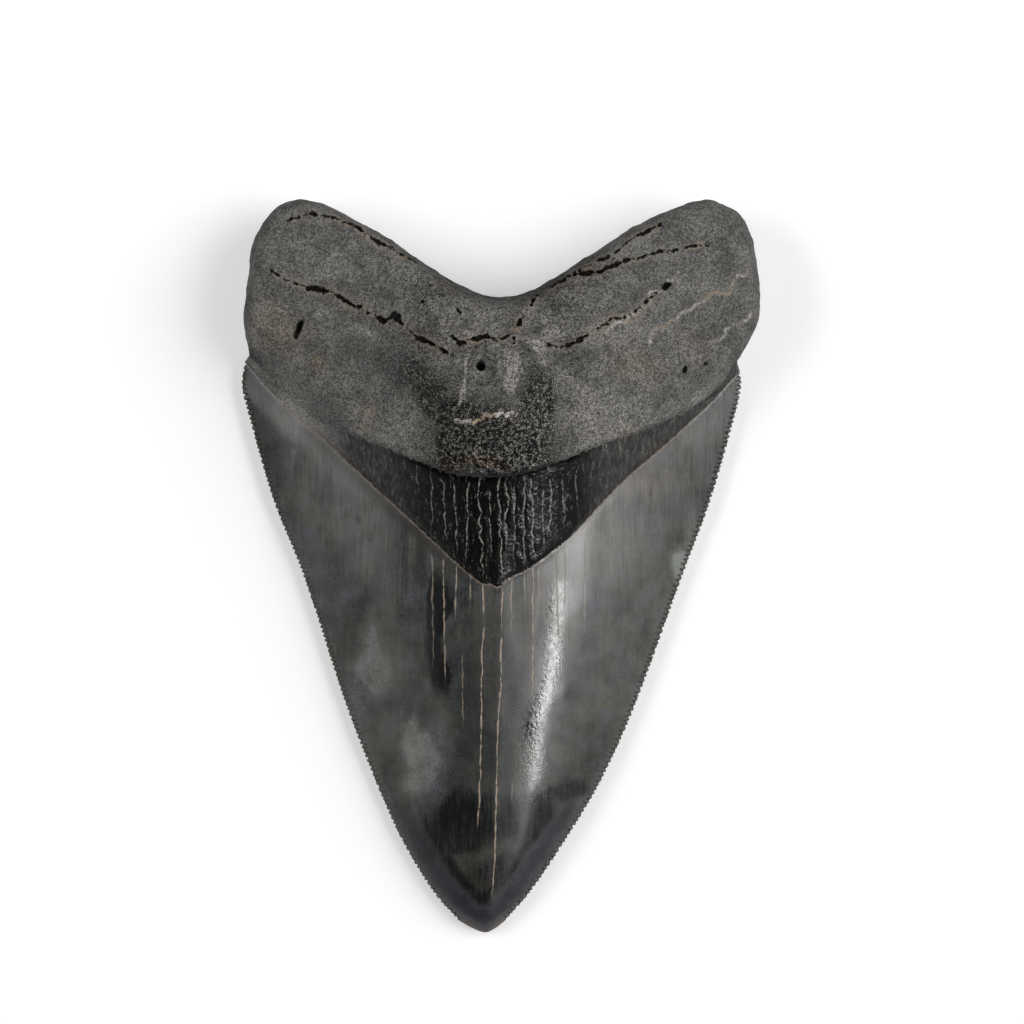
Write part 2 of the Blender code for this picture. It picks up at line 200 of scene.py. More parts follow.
def along(line, shares, runs=None):
    runs = np.linspace(0, 1, len(line)) if runs is None else runs
    return np.stack([np.interp(shares, runs, line[:, i]) for i in range(2)], axis=-1)


curves = {name: curve_through(np.array(points) * (WIDTH / 2, LENGTH)) for name, points in PLAN.items()}
outline = np.vstack([curves[name] for name in OUTLINE])
plan_low, plan_high = outline.min(0), outline.max(0)
plan_fit = np.array([WIDTH, LENGTH]) / (plan_high - plan_low)
curves = {name: (line - (plan_low + plan_high) / 2) * plan_fit for name, line in curves.items()}


def patch(bottom, top, left, right, across, up):
    """The place in a Coons patch between four lines, for each pair of shares across and up."""
    a, u = across[:, None], up[:, None]
    lines = (1 - u) * along(bottom, across) + u * along(top, across)
    sides = (1 - a) * along(left, up) + a * along(right, up)
    corners = (1 - u) * ((1 - a) * bottom[0] + a * bottom[-1]) + u * ((1 - a) * top[0] + a * top[-1])
    return lines + sides - corners


def plan_of(across, way):
    """Plan places. way runs from 0 to 1 up the crown, to 2 over the bare band and to 3 up the root."""
    c = curves
    band_left = np.array([c["enamel_end"][0], c["root_start"][0]])
    band_right = np.array([c["enamel_end"][-1], c["root_start"][-1]])
    crown = patch(c["tip"], c["enamel_end"], c["crown_left"], c["crown_right"], across, np.clip(way, 0, 1))
    band = patch(c["enamel_end"], c["root_start"], band_left, band_right, across, np.clip(way - 1, 0, 1))
    root_sides = (c["root_left"], c["root_right"])
    root = patch(c["root_start"], c["root_top"], *root_sides, across, np.clip(way - 2, 0, 1))
    return np.where(way[:, None] < 1, crown, np.where(way[:, None] < 2, band, root))


class Line:
    """A line in plan that tells how far off each point is, on which side, and how far along."""

    def __init__(self, points):
        self.points = points
        self.low, self.high = points.min(0), points.max(0)
        self.tree = KDTree(len(points))
        for i, (x, y) in enumerate(points.tolist()):
            self.tree.insert((x, y, 0), i)
        self.tree.balance()

    def may_reach(self, places, reach):
        return ((places > self.low - reach) & (places < self.high + reach)).all(1)

    def measure(self, places):
        find = self.tree.find
        near = np.array([find((x, y, 0))[1] for x, y in places.tolist()], int)
        best = np.full(len(places), np.inf)
        side = np.zeros(len(places))
        run = np.zeros(len(places))
        for first in (near - 1, near):
            first = np.clip(first, 0, len(self.points) - 2)
            a, b = self.points[first], self.points[first + 1]
            ab, ap = b - a, places - a
            t = np.clip((ap * ab).sum(1) / np.maximum((ab * ab).sum(1), 1e-18), 0, 1)
            off = np.linalg.norm(ap - t[:, None] * ab, axis=1)
            closer = off < best
            best = np.where(closer, off, best)
            side = np.where(closer, ab[:, 0] * ap[:, 1] - ab[:, 1] * ap[:, 0], side)
            run = np.where(closer, (first + t) / (len(self.points) - 1), run)
        return best, np.sign(side), run


def closed_outline():
    """The rim as one line that runs round the tooth, from the tip up its right side and down its left."""
    up = [curves[name] for name in ("tip", "crown_right", "root_right")]
    down = [curves[name][::-1] for name in ("root_top", "root_left", "crown_left")]
    return np.vstack(up + down)


rim_line = Line(closed_outline())
cutting_edges = [Line(curves["crown_left"]), Line(curves["crown_right"])]
enamel_line = Line(curves["enamel_end"])
ledge_line = Line(curves["root_start"])
under_enamel_line = Line(curves["under_enamel_end"])
fissure_lines = [Line(np.array(points)) for _, _, points in FISSURES]


def quarter_round(distance, radius):
    return np.sqrt(1 - (1 - np.clip(distance / radius, 0, 1)) ** 2)


def soft_step(x):
    x = np.clip(x, 0, 1)
    return x * x * (3 - 2 * x)


def bell(off, width):
    """1 where off is 0, falling smoothly to almost nothing at twice the width."""
    return np.exp(-((off / width) ** 2))


def grain(places, size, seed):
    """Smooth noise from -1 to 1 that changes over about size metres (one size, or one for each axis)."""
    p = places / np.array(size) + 31.7 * seed
    cell = np.floor(p).astype(np.int64)
    t = soft_step(p - cell)
    total = np.zeros(len(places))
    for corner in itertools.product((0, 1), repeat=3):
        x, y, z = (cell + corner).T
        h = (x * 73856093) ^ (y * 19349663) ^ (z * 83492791) ^ (seed * 2654435)
        h = ((h ^ (h >> 13)) * 1274126177) & 0xFFFFFFFF
        h = ((h ^ (h >> 16)) * 2246822519) & 0xFFFFFFFF
        total += np.prod(np.where(corner, t, 1 - t), axis=1) * (h / 2147483647.5 - 1)
    return total


def layered(places, layers, first_seed):
    """Noise of several sizes, one over another, each given as (size, height)."""
    return sum(height * grain(places, size, first_seed + i) for i, (size, height) in enumerate(layers))


def crown_height(side, share, edge, rim_distance):
    """The domed inner face. side runs from -1 to 1 across it, and edge is its cutting edge's height."""
    dome = np.interp(share, RIDGE_SHARES, RIDGE_HEIGHTS) * (1 - np.abs(side) ** DOME_POWER) ** DOME_FLARE
    t = rim_distance / BEVEL_REACH
    bevel = np.interp(share, BEVEL_SHARES, BEVEL_RISES) * t * np.exp(1 - t)
    return edge + np.maximum(dome + bevel, LEAST_SLOPE * rim_distance)


def heights_of(across, way, plan, rim_distance):
    """The heights of the upper face, of the under face and of the rim at each plan place."""
    side = 2 * across - 1
    share = np.clip(way, 0, 1)
    edge = EDGE_AT_TIP + (EDGE_AT_SHOULDER - EDGE_AT_TIP) * share
    crown = crown_height(side, share, edge, rim_distance)
    blade_under = (1 - np.clip(rim_distance / BLADE_HOLLOW, 0, 1)) ** 2
    root_under = 1 - quarter_round(rim_distance, UNDER_ROUND)

    up_band = np.clip(way - 1, 0, 1)
    band_rim = EDGE_AT_SHOULDER + (ROOT_RIM - EDGE_AT_SHOULDER) * up_band
    enamel_height = crown_height(side, 1, EDGE_AT_SHOULDER, rim_distance)
    band_climb = BAND_RISE * np.clip(1 - (side / BAND_REACH) ** 2, 0, 1)
    band = np.maximum(enamel_height + band_climb * up_band, band_rim)

    up_root = LEDGE_END + (1 - LEDGE_END) * np.clip(way - 2, 0, 1)
    ledged = soft_step((side - LEDGE_LEFT_END) / LEDGE_FADE)
    start = enamel_height + band_climb + LEDGE * ledged
    crest = LOBE_HEIGHT + (THICKNESS - LOBE_HEIGHT) * bell(side, BOSS_REACH)
    notch = NOTCH_HEIGHT + NOTCH_SWELL * bell(side, NOTCH_REACH)
    climb = start + (crest - start) * np.sin(np.clip(up_root / CREST, 0, 1) * math.pi / 2)
    past_crest = np.clip((up_root - CREST) / (1 - CREST), 0, 1)
    fall = crest + (notch - crest) * (1 - np.cos(past_crest * math.pi / 2))
    root = np.where(up_root < CREST, climb, fall)
    for x, y, radius, rise in RELIEF:
        root = root + rise * bell(np.linalg.norm(plan - (x, y), axis=1), radius)
    root = ROOT_RIM + (root - ROOT_RIM) * quarter_round(rim_distance, UPPER_ROUND)
    ledge_step = soft_step((way - 2) / (LEDGE_WIDTH + LIMB_BLEND * (1 - ledged)))
    root = band + (root - band) * ledge_step

    upper = np.where(way < 1, crown, np.where(way < 2, band, root))
    under_shape = (1 - up_band) * blade_under + up_band * root_under
    rim = np.where(way < 1, edge, band_rim)
    return upper, rim * under_shape, rim


def placed(across, way, under):
    """The tooth's smooth form: a place in space for each point of the flat sheet."""
    plan = plan_of(across, way)
    rim_distance = rim_line.measure(plan)[0]
    on_rim = (across < 1e-6) | (across > 1 - 1e-6) | (way < 1e-6) | (way > 3 - 1e-6)
    rim_distance[on_rim] = 0
    upper, lower, rim = heights_of(across, way, plan, rim_distance)
    height = np.where(on_rim, rim, np.where(under, lower, upper))
    return np.column_stack([plan, height]), rim_distance, on_rim


COLUMNS = 32
CROWN_ROWS, BAND_ROWS, ROOT_ROWS = 24, 6, 16
FINENESS = 1.0
LONGEST = 1.5  # an edge is halved when it is this many times longer than wanted
# Edge lengths wanted in each part of the finished mesh.
ROOT_FACE = 0.00049 * FINENESS
BAND_FACE = 0.00038 * FINENESS
ENAMEL_FACE = 0.00085 * FINENESS
UNDER_FACE = 0.00140 * FINENESS
UNDER_ROOT = 0.00110 * FINENESS
CUTTING_EDGE = 0.00020 * FINENESS
CRACK_EDGE = 0.00022 * FINENESS
BOUNDARY = 0.00030 * FINENESS
UNDER_BLADE = 1.4  # how much longer than on the upper face an edge may be under the blade
GROWTH = 0.5  # how fast the wanted length grows away from a line
# How far from its line a finer mesh reaches before that.
BLADE_REACH, BOUNDARY_REACH, FISSURE_LIP, PIT_LIP = 0.0006, 0.0005, 0.0004, 0.0003
FISSURES_START = 1.8  # no crack starts lower than this on the way up the tooth
FISSURE_SURROUNDINGS = 0.004
FAR_FROM_FISSURE = 0.01


def survey(flat):
    """What is known of each point of the sheet: its place in space and how far off each line is."""
    under = flat[:, 2] < 0
    places, rim_distance, on_rim = placed(flat[:, 0], flat[:, 1], under)
    plan = places[:, :2]
    known = {"places": places, "rim_distance": rim_distance, "on_rim": on_rim}
    ends = {"enamel_off": enamel_line, "ledge_off": ledge_line, "under_off": under_enamel_line}
    for name, line in ends.items():
        off, side, _ = line.measure(plan)
        known[name] = off * np.where(side == 0, 1, side)
    fissure_off = np.full((len(flat), len(FISSURES)), FAR_FROM_FISSURE)
    fissure_run = np.zeros((len(flat), len(FISSURES)))
    upper_root = np.flatnonzero(~under & (flat[:, 1] > FISSURES_START))
    for i, line in enumerate(fissure_lines):
        near = upper_root[line.may_reach(plan[upper_root], FISSURE_SURROUNDINGS)]
        fissure_off[near, i], _, fissure_run[near, i] = line.measure(plan[near])
    known["fissure_off"], known["fissure_run"] = fissure_off, fissure_run
    known["wanted"] = wanted_length(flat[:, 1], under, known)
    return known


def wanted_length(way, under, known):
    """How long an edge may be at each point."""
    plan, rim_distance = known["places"][:, :2], known["rim_distance"]
    under_length = np.where(way > 2, UNDER_ROOT, UNDER_FACE)
    length = np.where(under, under_length, np.where(way > 2, ROOT_FACE, ENAMEL_FACE))
    length = np.where((way > 1) & (way <= 2) & ~under, BAND_FACE, length)
    blade = CUTTING_EDGE * np.where(under, UNDER_BLADE, 1)
    blade = blade + np.maximum(rim_distance - BLADE_REACH, 0) * GROWTH
    length = np.where(way < 1.02, np.minimum(blade, length), length)

    def finer(off, edge, reach):
        near_line = edge + np.maximum(off - reach, 0) * GROWTH
        return np.where(under, length, np.minimum(length, near_line))

    length = finer(np.abs(known["enamel_off"]), BOUNDARY, BOUNDARY_REACH)
    length = finer(np.abs(known["ledge_off"]), BOUNDARY, BOUNDARY_REACH)
    for i, (half_width, _, _) in enumerate(FISSURES):
        length = finer(known["fissure_off"][:, i], CRACK_EDGE, half_width + FISSURE_LIP)
    for x, y, half_length, _, _, _ in PITS:
        length = finer(np.linalg.norm(plan - (x, y), axis=1) - half_length, CRACK_EDGE, PIT_LIP)
    return length


def read_points(mesh):
    points = np.empty(len(mesh.vertices) * 3)
    mesh.vertices.foreach_get("co", points)
    return points.reshape(-1, 3)


rows = CROWN_ROWS + BAND_ROWS + ROOT_ROWS
row_ways = np.concatenate([
    np.linspace(0, 1, CROWN_ROWS + 1),
    np.linspace(1, 2, BAND_ROWS + 1)[1:],
    np.linspace(2, 3, ROOT_ROWS + 1)[1:],
])
bpy.ops.object.select_all(action="DESELECT")
bpy.ops.mesh.primitive_grid_add(x_subdivisions=COLUMNS, y_subdivisions=rows, size=1)
tooth = bpy.context.object
tooth.name = tooth.data.name = "fossil_tooth"
sheet = tooth.data
flat = read_points(sheet)
across = np.round((flat[:, 0] + 0.5) * COLUMNS) / COLUMNS
row = np.round((flat[:, 1] + 0.5) * rows).astype(int)
inside = (across > 0) & (across < 1) & (row > 0) & (row < rows)
flat = np.column_stack([across, row_ways[row], np.where(inside, 0.1, 0.0)])
sheet.vertices.foreach_set("co", flat.ravel())
bpy.ops.object.mode_set(mode="EDIT")
bpy.ops.mesh.select_all(action="SELECT")
bpy.ops.mesh.duplicate()
bpy.ops.mesh.flip_normals()
bpy.ops.transform.resize(value=(1, 1, -1), center_override=(0, 0, 0))
bpy.ops.mesh.select_all(action="SELECT")
bpy.ops.mesh.remove_doubles(threshold=1e-6)
bpy.ops.object.mode_set(mode="OBJECT")

flat = read_points(sheet)
flat[:, 0] = np.round(flat[:, 0] * COLUMNS) / COLUMNS
quads = np.empty(len(sheet.loops), np.int32)
sheet.loops.foreach_get("vertex_index", quads)
a, b, c, d = quads.reshape(-1, 4).T.astype(np.int64)
rimmed = (flat[a, 2] == 0) & (flat[c, 2] == 0)  # no diagonal joins two points of the rim
faces = np.vstack([
    np.column_stack([a, b, np.where(rimmed, d, c)]),
    np.column_stack([np.where(rimmed, b, a), c, d]),
])

known = survey(flat)
while True:
    corners = np.sort(np.stack([faces, np.roll(faces, -1, axis=1)], axis=2).reshape(-1, 2), axis=1)
    keys, sides = np.unique(corners[:, 0] * len(flat) + corners[:, 1], return_inverse=True)
    first, last, sides = keys // len(flat), keys % len(flat), sides.reshape(-1, 3)
    length = np.linalg.norm(known["places"][first] - known["places"][last], axis=1)
    split = length > LONGEST * (known["wanted"][first] + known["wanted"][last]) / 2
    if not split.any():
        break
    # Each triangle is turned to start with its longest side, which is halved before the other two.
    turn = (np.argmax(length[sides], axis=1)[:, None] + np.arange(3)) % 3
    faces, sides = np.take_along_axis(faces, turn, axis=1), np.take_along_axis(sides, turn, axis=1)
    while True:
        owed = split[sides].any(1) & ~split[sides[:, 0]]
        if not owed.any():
            break
        split[sides[owed, 0]] = True
    middle = np.cumsum(split) - 1 + len(flat)
    added = (flat[first[split]] + flat[last[split]]) / 2
    more = survey(added)
    flat = np.vstack([flat, added])
    known = {name: np.concatenate([values, more[name]]) for name, values in known.items()}
    a, b, c = faces.T
    ab, bc, ca = middle[sides].T
    halve, right, left = split[sides].T
    pieces = [
        (~halve, (a, b, c)),
        (halve & ~left, (a, ab, c)),
        (left, (a, ab, ca)),
        (left, (ca, ab, c)),
        (halve & ~right, (ab, b, c)),
        (right, (ab, b, bc)),
        (right, (ab, bc, c)),
    ]
    faces = np.vstack([np.column_stack(points)[which] for which, points in pieces])

under = flat[:, 2] < 0
way = flat[:, 1]
rim_distance, on_rim = known["rim_distance"], known["on_rim"]
space = known["places"].copy()
plan = space[:, :2].copy()
plan_x, plan_y = plan.T

# The smooth form's normals, along which lumps and grains stand up.
sheet.clear_geometry()
sheet.from_pydata(space.tolist(), [], faces.tolist())
smooth_normals = np.empty(len(space) * 3, np.float32)
sheet.vertex_normals.foreach_get("vector", smooth_normals)
smooth_normals = smooth_normals.reshape(-1, 3).astype(float)
upper = ~under
crown = (way < 1) & upper
band = (way >= 1) & (way <= 2) & upper

# --------------------------------------------------
# The cutting edges. Each one is a row of small notches and teeth all the way from the shoulder
# to the tip, worn a little unevenly, that runs out into the enamel on both faces.
# --------------------------------------------------
NOTCH_SHARE = 0.19  # half a notch's width, as a share of the pitch
FACE_GROOVE = 0.00016
UNEVEN = 0.35  # how far a notch strays from its even place, as a share of the pitch
LEAST_WEAR, WEAR_RANGE = 0.8, 0.35
SERRATED = SERRATION_FADE + 0.001

notch_turns = np.zeros(len(space))
for seed, (line, inward) in enumerate(zip(cutting_edges, (-1, 1))):
    near = np.flatnonzero((rim_distance < SERRATED) & (way <= 1.001))
    off, _, run = line.measure(plan[near])
    close = off < SERRATED
    near, off, run = near[close], off[close], run[close]
    steps = np.diff(line.points, axis=0)
    turns = run * int(np.linalg.norm(steps, axis=1).sum() / SERRATION_PITCH)
    turns += UNEVEN * grain(np.column_stack([turns, turns, turns]), 2.7, 9 + seed)
    notch = np.floor(turns)
    wear = LEAST_WEAR + WEAR_RANGE * grain(np.column_stack([notch, notch, notch]) * 0.37, 1.0, 5 + seed)
    depth = wear * bell(turns - notch - 0.5, NOTCH_SHARE)
    tangent = steps[np.clip((run * (CURVE_POINTS - 1)).astype(int), 0, CURVE_POINTS - 2)]
    tangent /= np.linalg.norm(tangent, axis=1, keepdims=True)
    across_edge = inward * np.column_stack([-tangent[:, 1], tangent[:, 0]])
    fade = np.clip(1 - off / SERRATION_FADE, 0, 1) ** 2
    notch_turns[near] = turns
    space[near, :2] += across_edge * (SERRATION_DEPTH * depth * fade)[:, None]
    space[near, 2] -= np.where(upper[near] & ~on_rim[near], FACE_GROOVE * depth * fade, 0)

# --------------------------------------------------
# The enamel and the bare band. The enamel ends in a low rounded step with a groove beside it.
# The band above it is bare dentine, drawn into fine upright pleats that broken cracks run between.
# --------------------------------------------------
ENAMEL_STEP, STEP_REACH = 0.00003, 0.0012
END_GROOVE = 0.00010
END_GROOVE_WIDTH = 0.00032
END_GROOVE_FROM_END = 0.00025
PLEAT_DEPTH = 0.00007
PLEAT_WIDTH = 0.00026
PLEAT_RIDGES = 0.00005
RIDGE_SIZE, NICK_SIZE = (0.0009, 0.0045, 1), (0.0006, 0.0012, 1)
ENAMEL_RIPPLE, RIPPLE_FADE = 0.00004, 0.004
RIPPLES = [((0.0028, 0.016, 1), 1), ((0.0014, 0.006, 1), 0.4)]
EDGE_FADE = 0.002  # how far in from the rim the low relief grows to its full height
# Cracks are (x at the top, x at the foot, y at the top, y at the foot, strength), in mm.
PLEATS = [
    [
        (-13.6, -13.9, 17, 11.2, 0.45), (-11.2, -11.4, 15, 5.2, 0.55), (-7.7, -7, 14.8, 1.4, 0.8),
        (-3.6, -2.8, 15.2, -2.6, 1), (-0.3, 0.3, 15, -3, 0.9), (2.5, 2.2, 13.4, -0.2, 0.7),
        (5.1, 5.6, 14.8, 0.6, 0.9), (8.4, 8, 14.6, 3.4, 0.7), (12.4, 12.9, 15.4, 7.9, 0.45),
        (17.3, 17.6, 21, 16.4, 0.5),
    ],
    [
        (-9.6, -9.1, 14.6, 3, 0.65), (-5.3, -5.6, 14, 0.2, 0.9), (-1.9, -1.5, 12.6, 0.6, 0.7),
        (1.2, 0.8, 14.8, 2.6, 0.8), (3.9, 4, 14.2, -0.8, 0.8), (6.9, 7.2, 13, 1.6, 0.75),
        (10.2, 10.6, 14.6, 5.4, 0.6), (15, 15.3, 17.6, 11, 0.35), (19.8, 19.5, 20.8, 16.8, 0.45),
    ],
]
PLEAT_WANDER = 0.00032
ENAMEL_CRACKS = [
    [
        (-11.2, -11.1, 2.2, -17.5, 0.5), (-7.2, -7.4, 0.4, -9.6, 0.8), (-2.9, -2.6, -2.6, -9.7, 1),
        (1.9, 1.9, -2, -11.5, 0.7), (5.4, 5.4, 0.2, -23.3, 1), (9.1, 9.7, 2, -13.7, 0.6),
        (14, 13.8, 4.6, -11.9, 0.4), (1.9, 1.9, -35.6, -39.9, 0.4),
    ],
    [
        (-9.4, -9, 1.4, -19.7, 0.7), (-4.9, -4.9, -1, -7.4, 0.7), (0.3, 0.2, -3, -11.6, 1),
        (3.9, 4.2, -0.2, -6.9, 0.7), (6.4, 6.5, 0.6, -8.7, 0.6), (10.7, 10.7, 2.6, -8.4, 0.5),
        (-6.2, -6.2, -14.5, -28, 0.45), (9.9, 10, -13.7, -22.5, 0.4),
    ],
]
# The two long cracks bend on their way down, so each has its points: (strength, [(x, y), ...]) in mm.
LONG_CRACKS = [
    (1, [
        (-2.6, -9.7), (-3, -13.7), (-3.1, -20), (-3.2, -32.1), (-3.5, -38.8), (-3.7, -42.2), (-3.8, -44.6),
    ]),
    (1, [
        (0.2, -11.6), (0.1, -20), (-0.4, -25.5), (-0.6, -34.9), (-0.8, -42.6), (-0.9, -48.4), (-1.2, -53),
        (-1.7, -55.5),
    ]),
]
# The ways down both sides of the enamel's flat ridge, as (x, y, half width) in mm, how far each one
# stands up, and its polish. Only the left one is a fold, and only the right one is polished.
FOLDS = [
    (0, 1, [
        (10.2, -0.5, 1.5), (9.2, -5.5, 1.6), (8.8, -15.5, 1.6), (7.6, -20.5, 1.5), (5.4, -25.8, 1.9),
        (5, -31.3, 2.6), (6.2, -40, 3), (6.4, -45, 3),
    ]),
    (0.00010, 0, [
        (-11, 1, 0.8), (-10.2, -8, 0.9), (-9.6, -18, 1.2), (-8.6, -28, 1.6), (-7.6, -38, 2),
    ]),
]
LINE_STEP = 0.0003
WANDER = 0.00013
WANDER_LENGTH = 0.0013
LINE_START, LINE_END = 0.0006, 0.004  # over these lengths a line grows and runs out
FAR_OFF = 5.0  # the distance kept, in mm, where no line is near
REACH = 0.0012


def wandering_line(points, seed, wander=WANDER):
    """A line through the points, given in mm, that wanders a little from side to side."""
    points = np.array(points) / 1000
    runs = np.concatenate([[0], np.cumsum(np.linalg.norm(np.diff(points, axis=0), axis=1))])
    run = np.arange(0, runs[-1], LINE_STEP)
    middle = np.column_stack([np.interp(run, runs, points[:, i]) for i in range(2)])
    ways = np.gradient(middle, axis=0)
    ways /= np.linalg.norm(ways, axis=1, keepdims=True)
    sway = grain(np.column_stack([run, run * 0, run * 0]), WANDER_LENGTH, seed)
    sway += 0.5 * grain(np.column_stack([run, run * 0, run * 0]), WANDER_LENGTH / 3, seed + 40)
    return Line(middle + wander * sway[:, None] * np.column_stack([-ways[:, 1], ways[:, 0]]))


def lines_near(lines, places):
    """For each place the nearest of the lines: its distance with its side as sign, its plain distance
    and its strength there. Distances are in mm. A line is where both distances are small."""
    values = np.tile([FAR_OFF, FAR_OFF, 0.0], (len(places), 1))
    for line, strength in lines:
        near = np.flatnonzero(line.may_reach(places, REACH))
        off, side, run = line.measure(places[near])
        length = (len(line.points) - 1) * LINE_STEP
        ends = soft_step(run * length / LINE_START) * soft_step((1 - run) * length / LINE_END)
        closer = off * 1000 < values[near, 1]
        side[side == 0] = 1
        found = np.column_stack([off * 1000 * side, off * 1000, strength * ends])
        values[near[closer]] = found[closer]
    return values


def with_seeds(groups, first_seed, wander=WANDER):
    seeds = itertools.count(first_seed)
    return [
        [(wandering_line([(x_top, top), (x_foot, foot)], next(seeds), wander), strength)
         for x_top, x_foot, top, foot, strength in group]
        for group in groups
    ]


pleat_lines = with_seeds(PLEATS, 100, PLEAT_WANDER)
crack_lines = with_seeds(ENAMEL_CRACKS, 150)
for group, (strength, points), seed in zip(crack_lines, LONG_CRACKS, (190, 191)):
    group.append((wandering_line(points, seed), strength))
pleats = [lines_near(lines, plan) for lines in pleat_lines]
cracks = [lines_near(lines, plan) for lines in crack_lines]

enamel_off = known["enamel_off"]
ledge_off = known["ledge_off"]
flat_places = np.column_stack([plan, plan_x * 0])
lift = np.zeros(len(space))
on_enamel = upper & (way < 1.3)
edge_fade = soft_step(rim_distance / EDGE_FADE)
step = ENAMEL_STEP * bell(np.minimum(enamel_off, 0), STEP_REACH) * (enamel_off < 0.0001)
groove = END_GROOVE * bell(enamel_off - END_GROOVE_FROM_END, END_GROOVE_WIDTH)
lift += np.where(on_enamel, (step - groove) * edge_fade, 0)
ripple = layered(flat_places, RIPPLES, 21)
lift += np.where(crown, ENAMEL_RIPPLE * ripple * soft_step(rim_distance / RIPPLE_FADE), 0)

polish = np.zeros(len(space))
for rise, polished, points in FOLDS:
    fold_x, fold_y, fold_width = np.array(points).T / 1000
    away = np.abs(plan_x - np.interp(-plan_y, -fold_y, fold_x))
    share = away / np.interp(-plan_y, -fold_y, fold_width)
    ends = soft_step((fold_y[0] - plan_y) / 0.004) * soft_step((plan_y - fold_y[-1]) / 0.020)
    lift += np.where(crown, rise * bell(share, 1.5) * ends, 0)
    polish += np.where(crown, polished * np.exp(-(share ** 3)) * ends, 0)

for values in pleats:
    groove = bell(values[:, 1] / 1000, PLEAT_WIDTH) * values[:, 2]
    lift -= np.where(band, PLEAT_DEPTH * groove * edge_fade, 0)
ridges = 1 - 2 * np.abs(grain(flat_places, RIDGE_SIZE, 23)) + 0.5 * grain(flat_places, NICK_SIZE, 24)
past_groove = soft_step((enamel_off - 0.0003) / 0.0015)
lift += np.where(band, PLEAT_RIDGES * (ridges - 0.6) * edge_fade * past_groove, 0)

# --------------------------------------------------
# The root. It is porous bone turned to stone: lumps, finer grains over them, open cracks that
# follow its grain from lobe to lobe, and pits where vessels entered.
# --------------------------------------------------
LUMPS = [(0.0060, 0.00022), (0.0030, 0.00016), (0.0016, 0.00013), (0.0010, 0.00010)]
UNDER_LUMPS = [(0.0035, 0.00016), (0.0012, 0.00007)]
GRAINS, BOSS_GRAINS = 0.00006, 1.5  # how high the grains are, and how much higher on the boss
GRAIN_SIZE = 0.0008
BOSS_CENTRE = (-0.0014, 0.0215)
BOSS_SPREAD = (0.0135, 0.0095)
RIM_LUMPS = 0.6
# Pale mineral veins and the pale arc above the boss: (strength, [(x, y), ...]) in mm.
VEINS = [
    (0.9, [(-7.6, 24.1), (-5.1, 23.8), (-2.7, 24.6), (-0.7, 25), (1.6, 25.6), (4.1, 25.1)]),
    (1, [
        (24.2, 36.4), (26.5, 39.3), (28.5, 40.6), (31.5, 42.1), (33, 43.4), (33.9, 44.9), (35.1, 45.2),
        (36.8, 44.9), (37.8, 45.2), (38.6, 47), (40.1, 48.2), (41.6, 49.8),
    ]),
    (1, [(34.8, 36.6), (36.8, 38.1), (38.6, 39.6), (40.1, 40.6), (41.8, 41.3), (43, 42.6)]),
    (0.8, [
        (17.2, 38.2), (19.5, 39.6), (21, 41.4), (23.2, 42.4), (26.5, 45.9), (28.2, 47.2), (30.7, 47.3),
    ]),
    (0.5, [(-30.6, 41.8), (-29.9, 40.2), (-29, 39)]),
]
VEIN_WANDER = 0.00080
FISSURE_PATCH = 0.0016  # the length over which a crack widens or narrows
THINNEST = 0.20  # of its half width
RAGGED = [(0.0011, 0.00032), (0.00045, 0.00034)]  # how its sides stray, as (size, distance)
# How level a face is where a crack in it starts to open, and how much more level where it gapes.
STEEP, STEEP_TO_LEVEL = 0.23, 0.22
CRACK_START, CRACK_END, CRUMBS_END = 0.06, 0.1, 0.05  # shares of a crack's length
LIP_HEIGHT, LIP_WIDTH = 0.00010, 0.0004
CRUMBS_REACH = 0.00060
CRACK_SURROUNDINGS = 0.003
PIT_RAGGED = 0.25
UNDER_FADE = 0.003
LUMPS_START = 0.03  # the share of the way up the root over which the lumps grow

lumps = layered(space, LUMPS, 30)
boss = np.exp(-((((plan - BOSS_CENTRE) / BOSS_SPREAD) ** 2).sum(1) ** 1.5))
grains = GRAINS * (1 + BOSS_GRAINS * boss) * grain(space, GRAIN_SIZE, 41)
over_root = soft_step((way - 2) / LUMPS_START) * upper
lift += over_root * (lumps + grains)

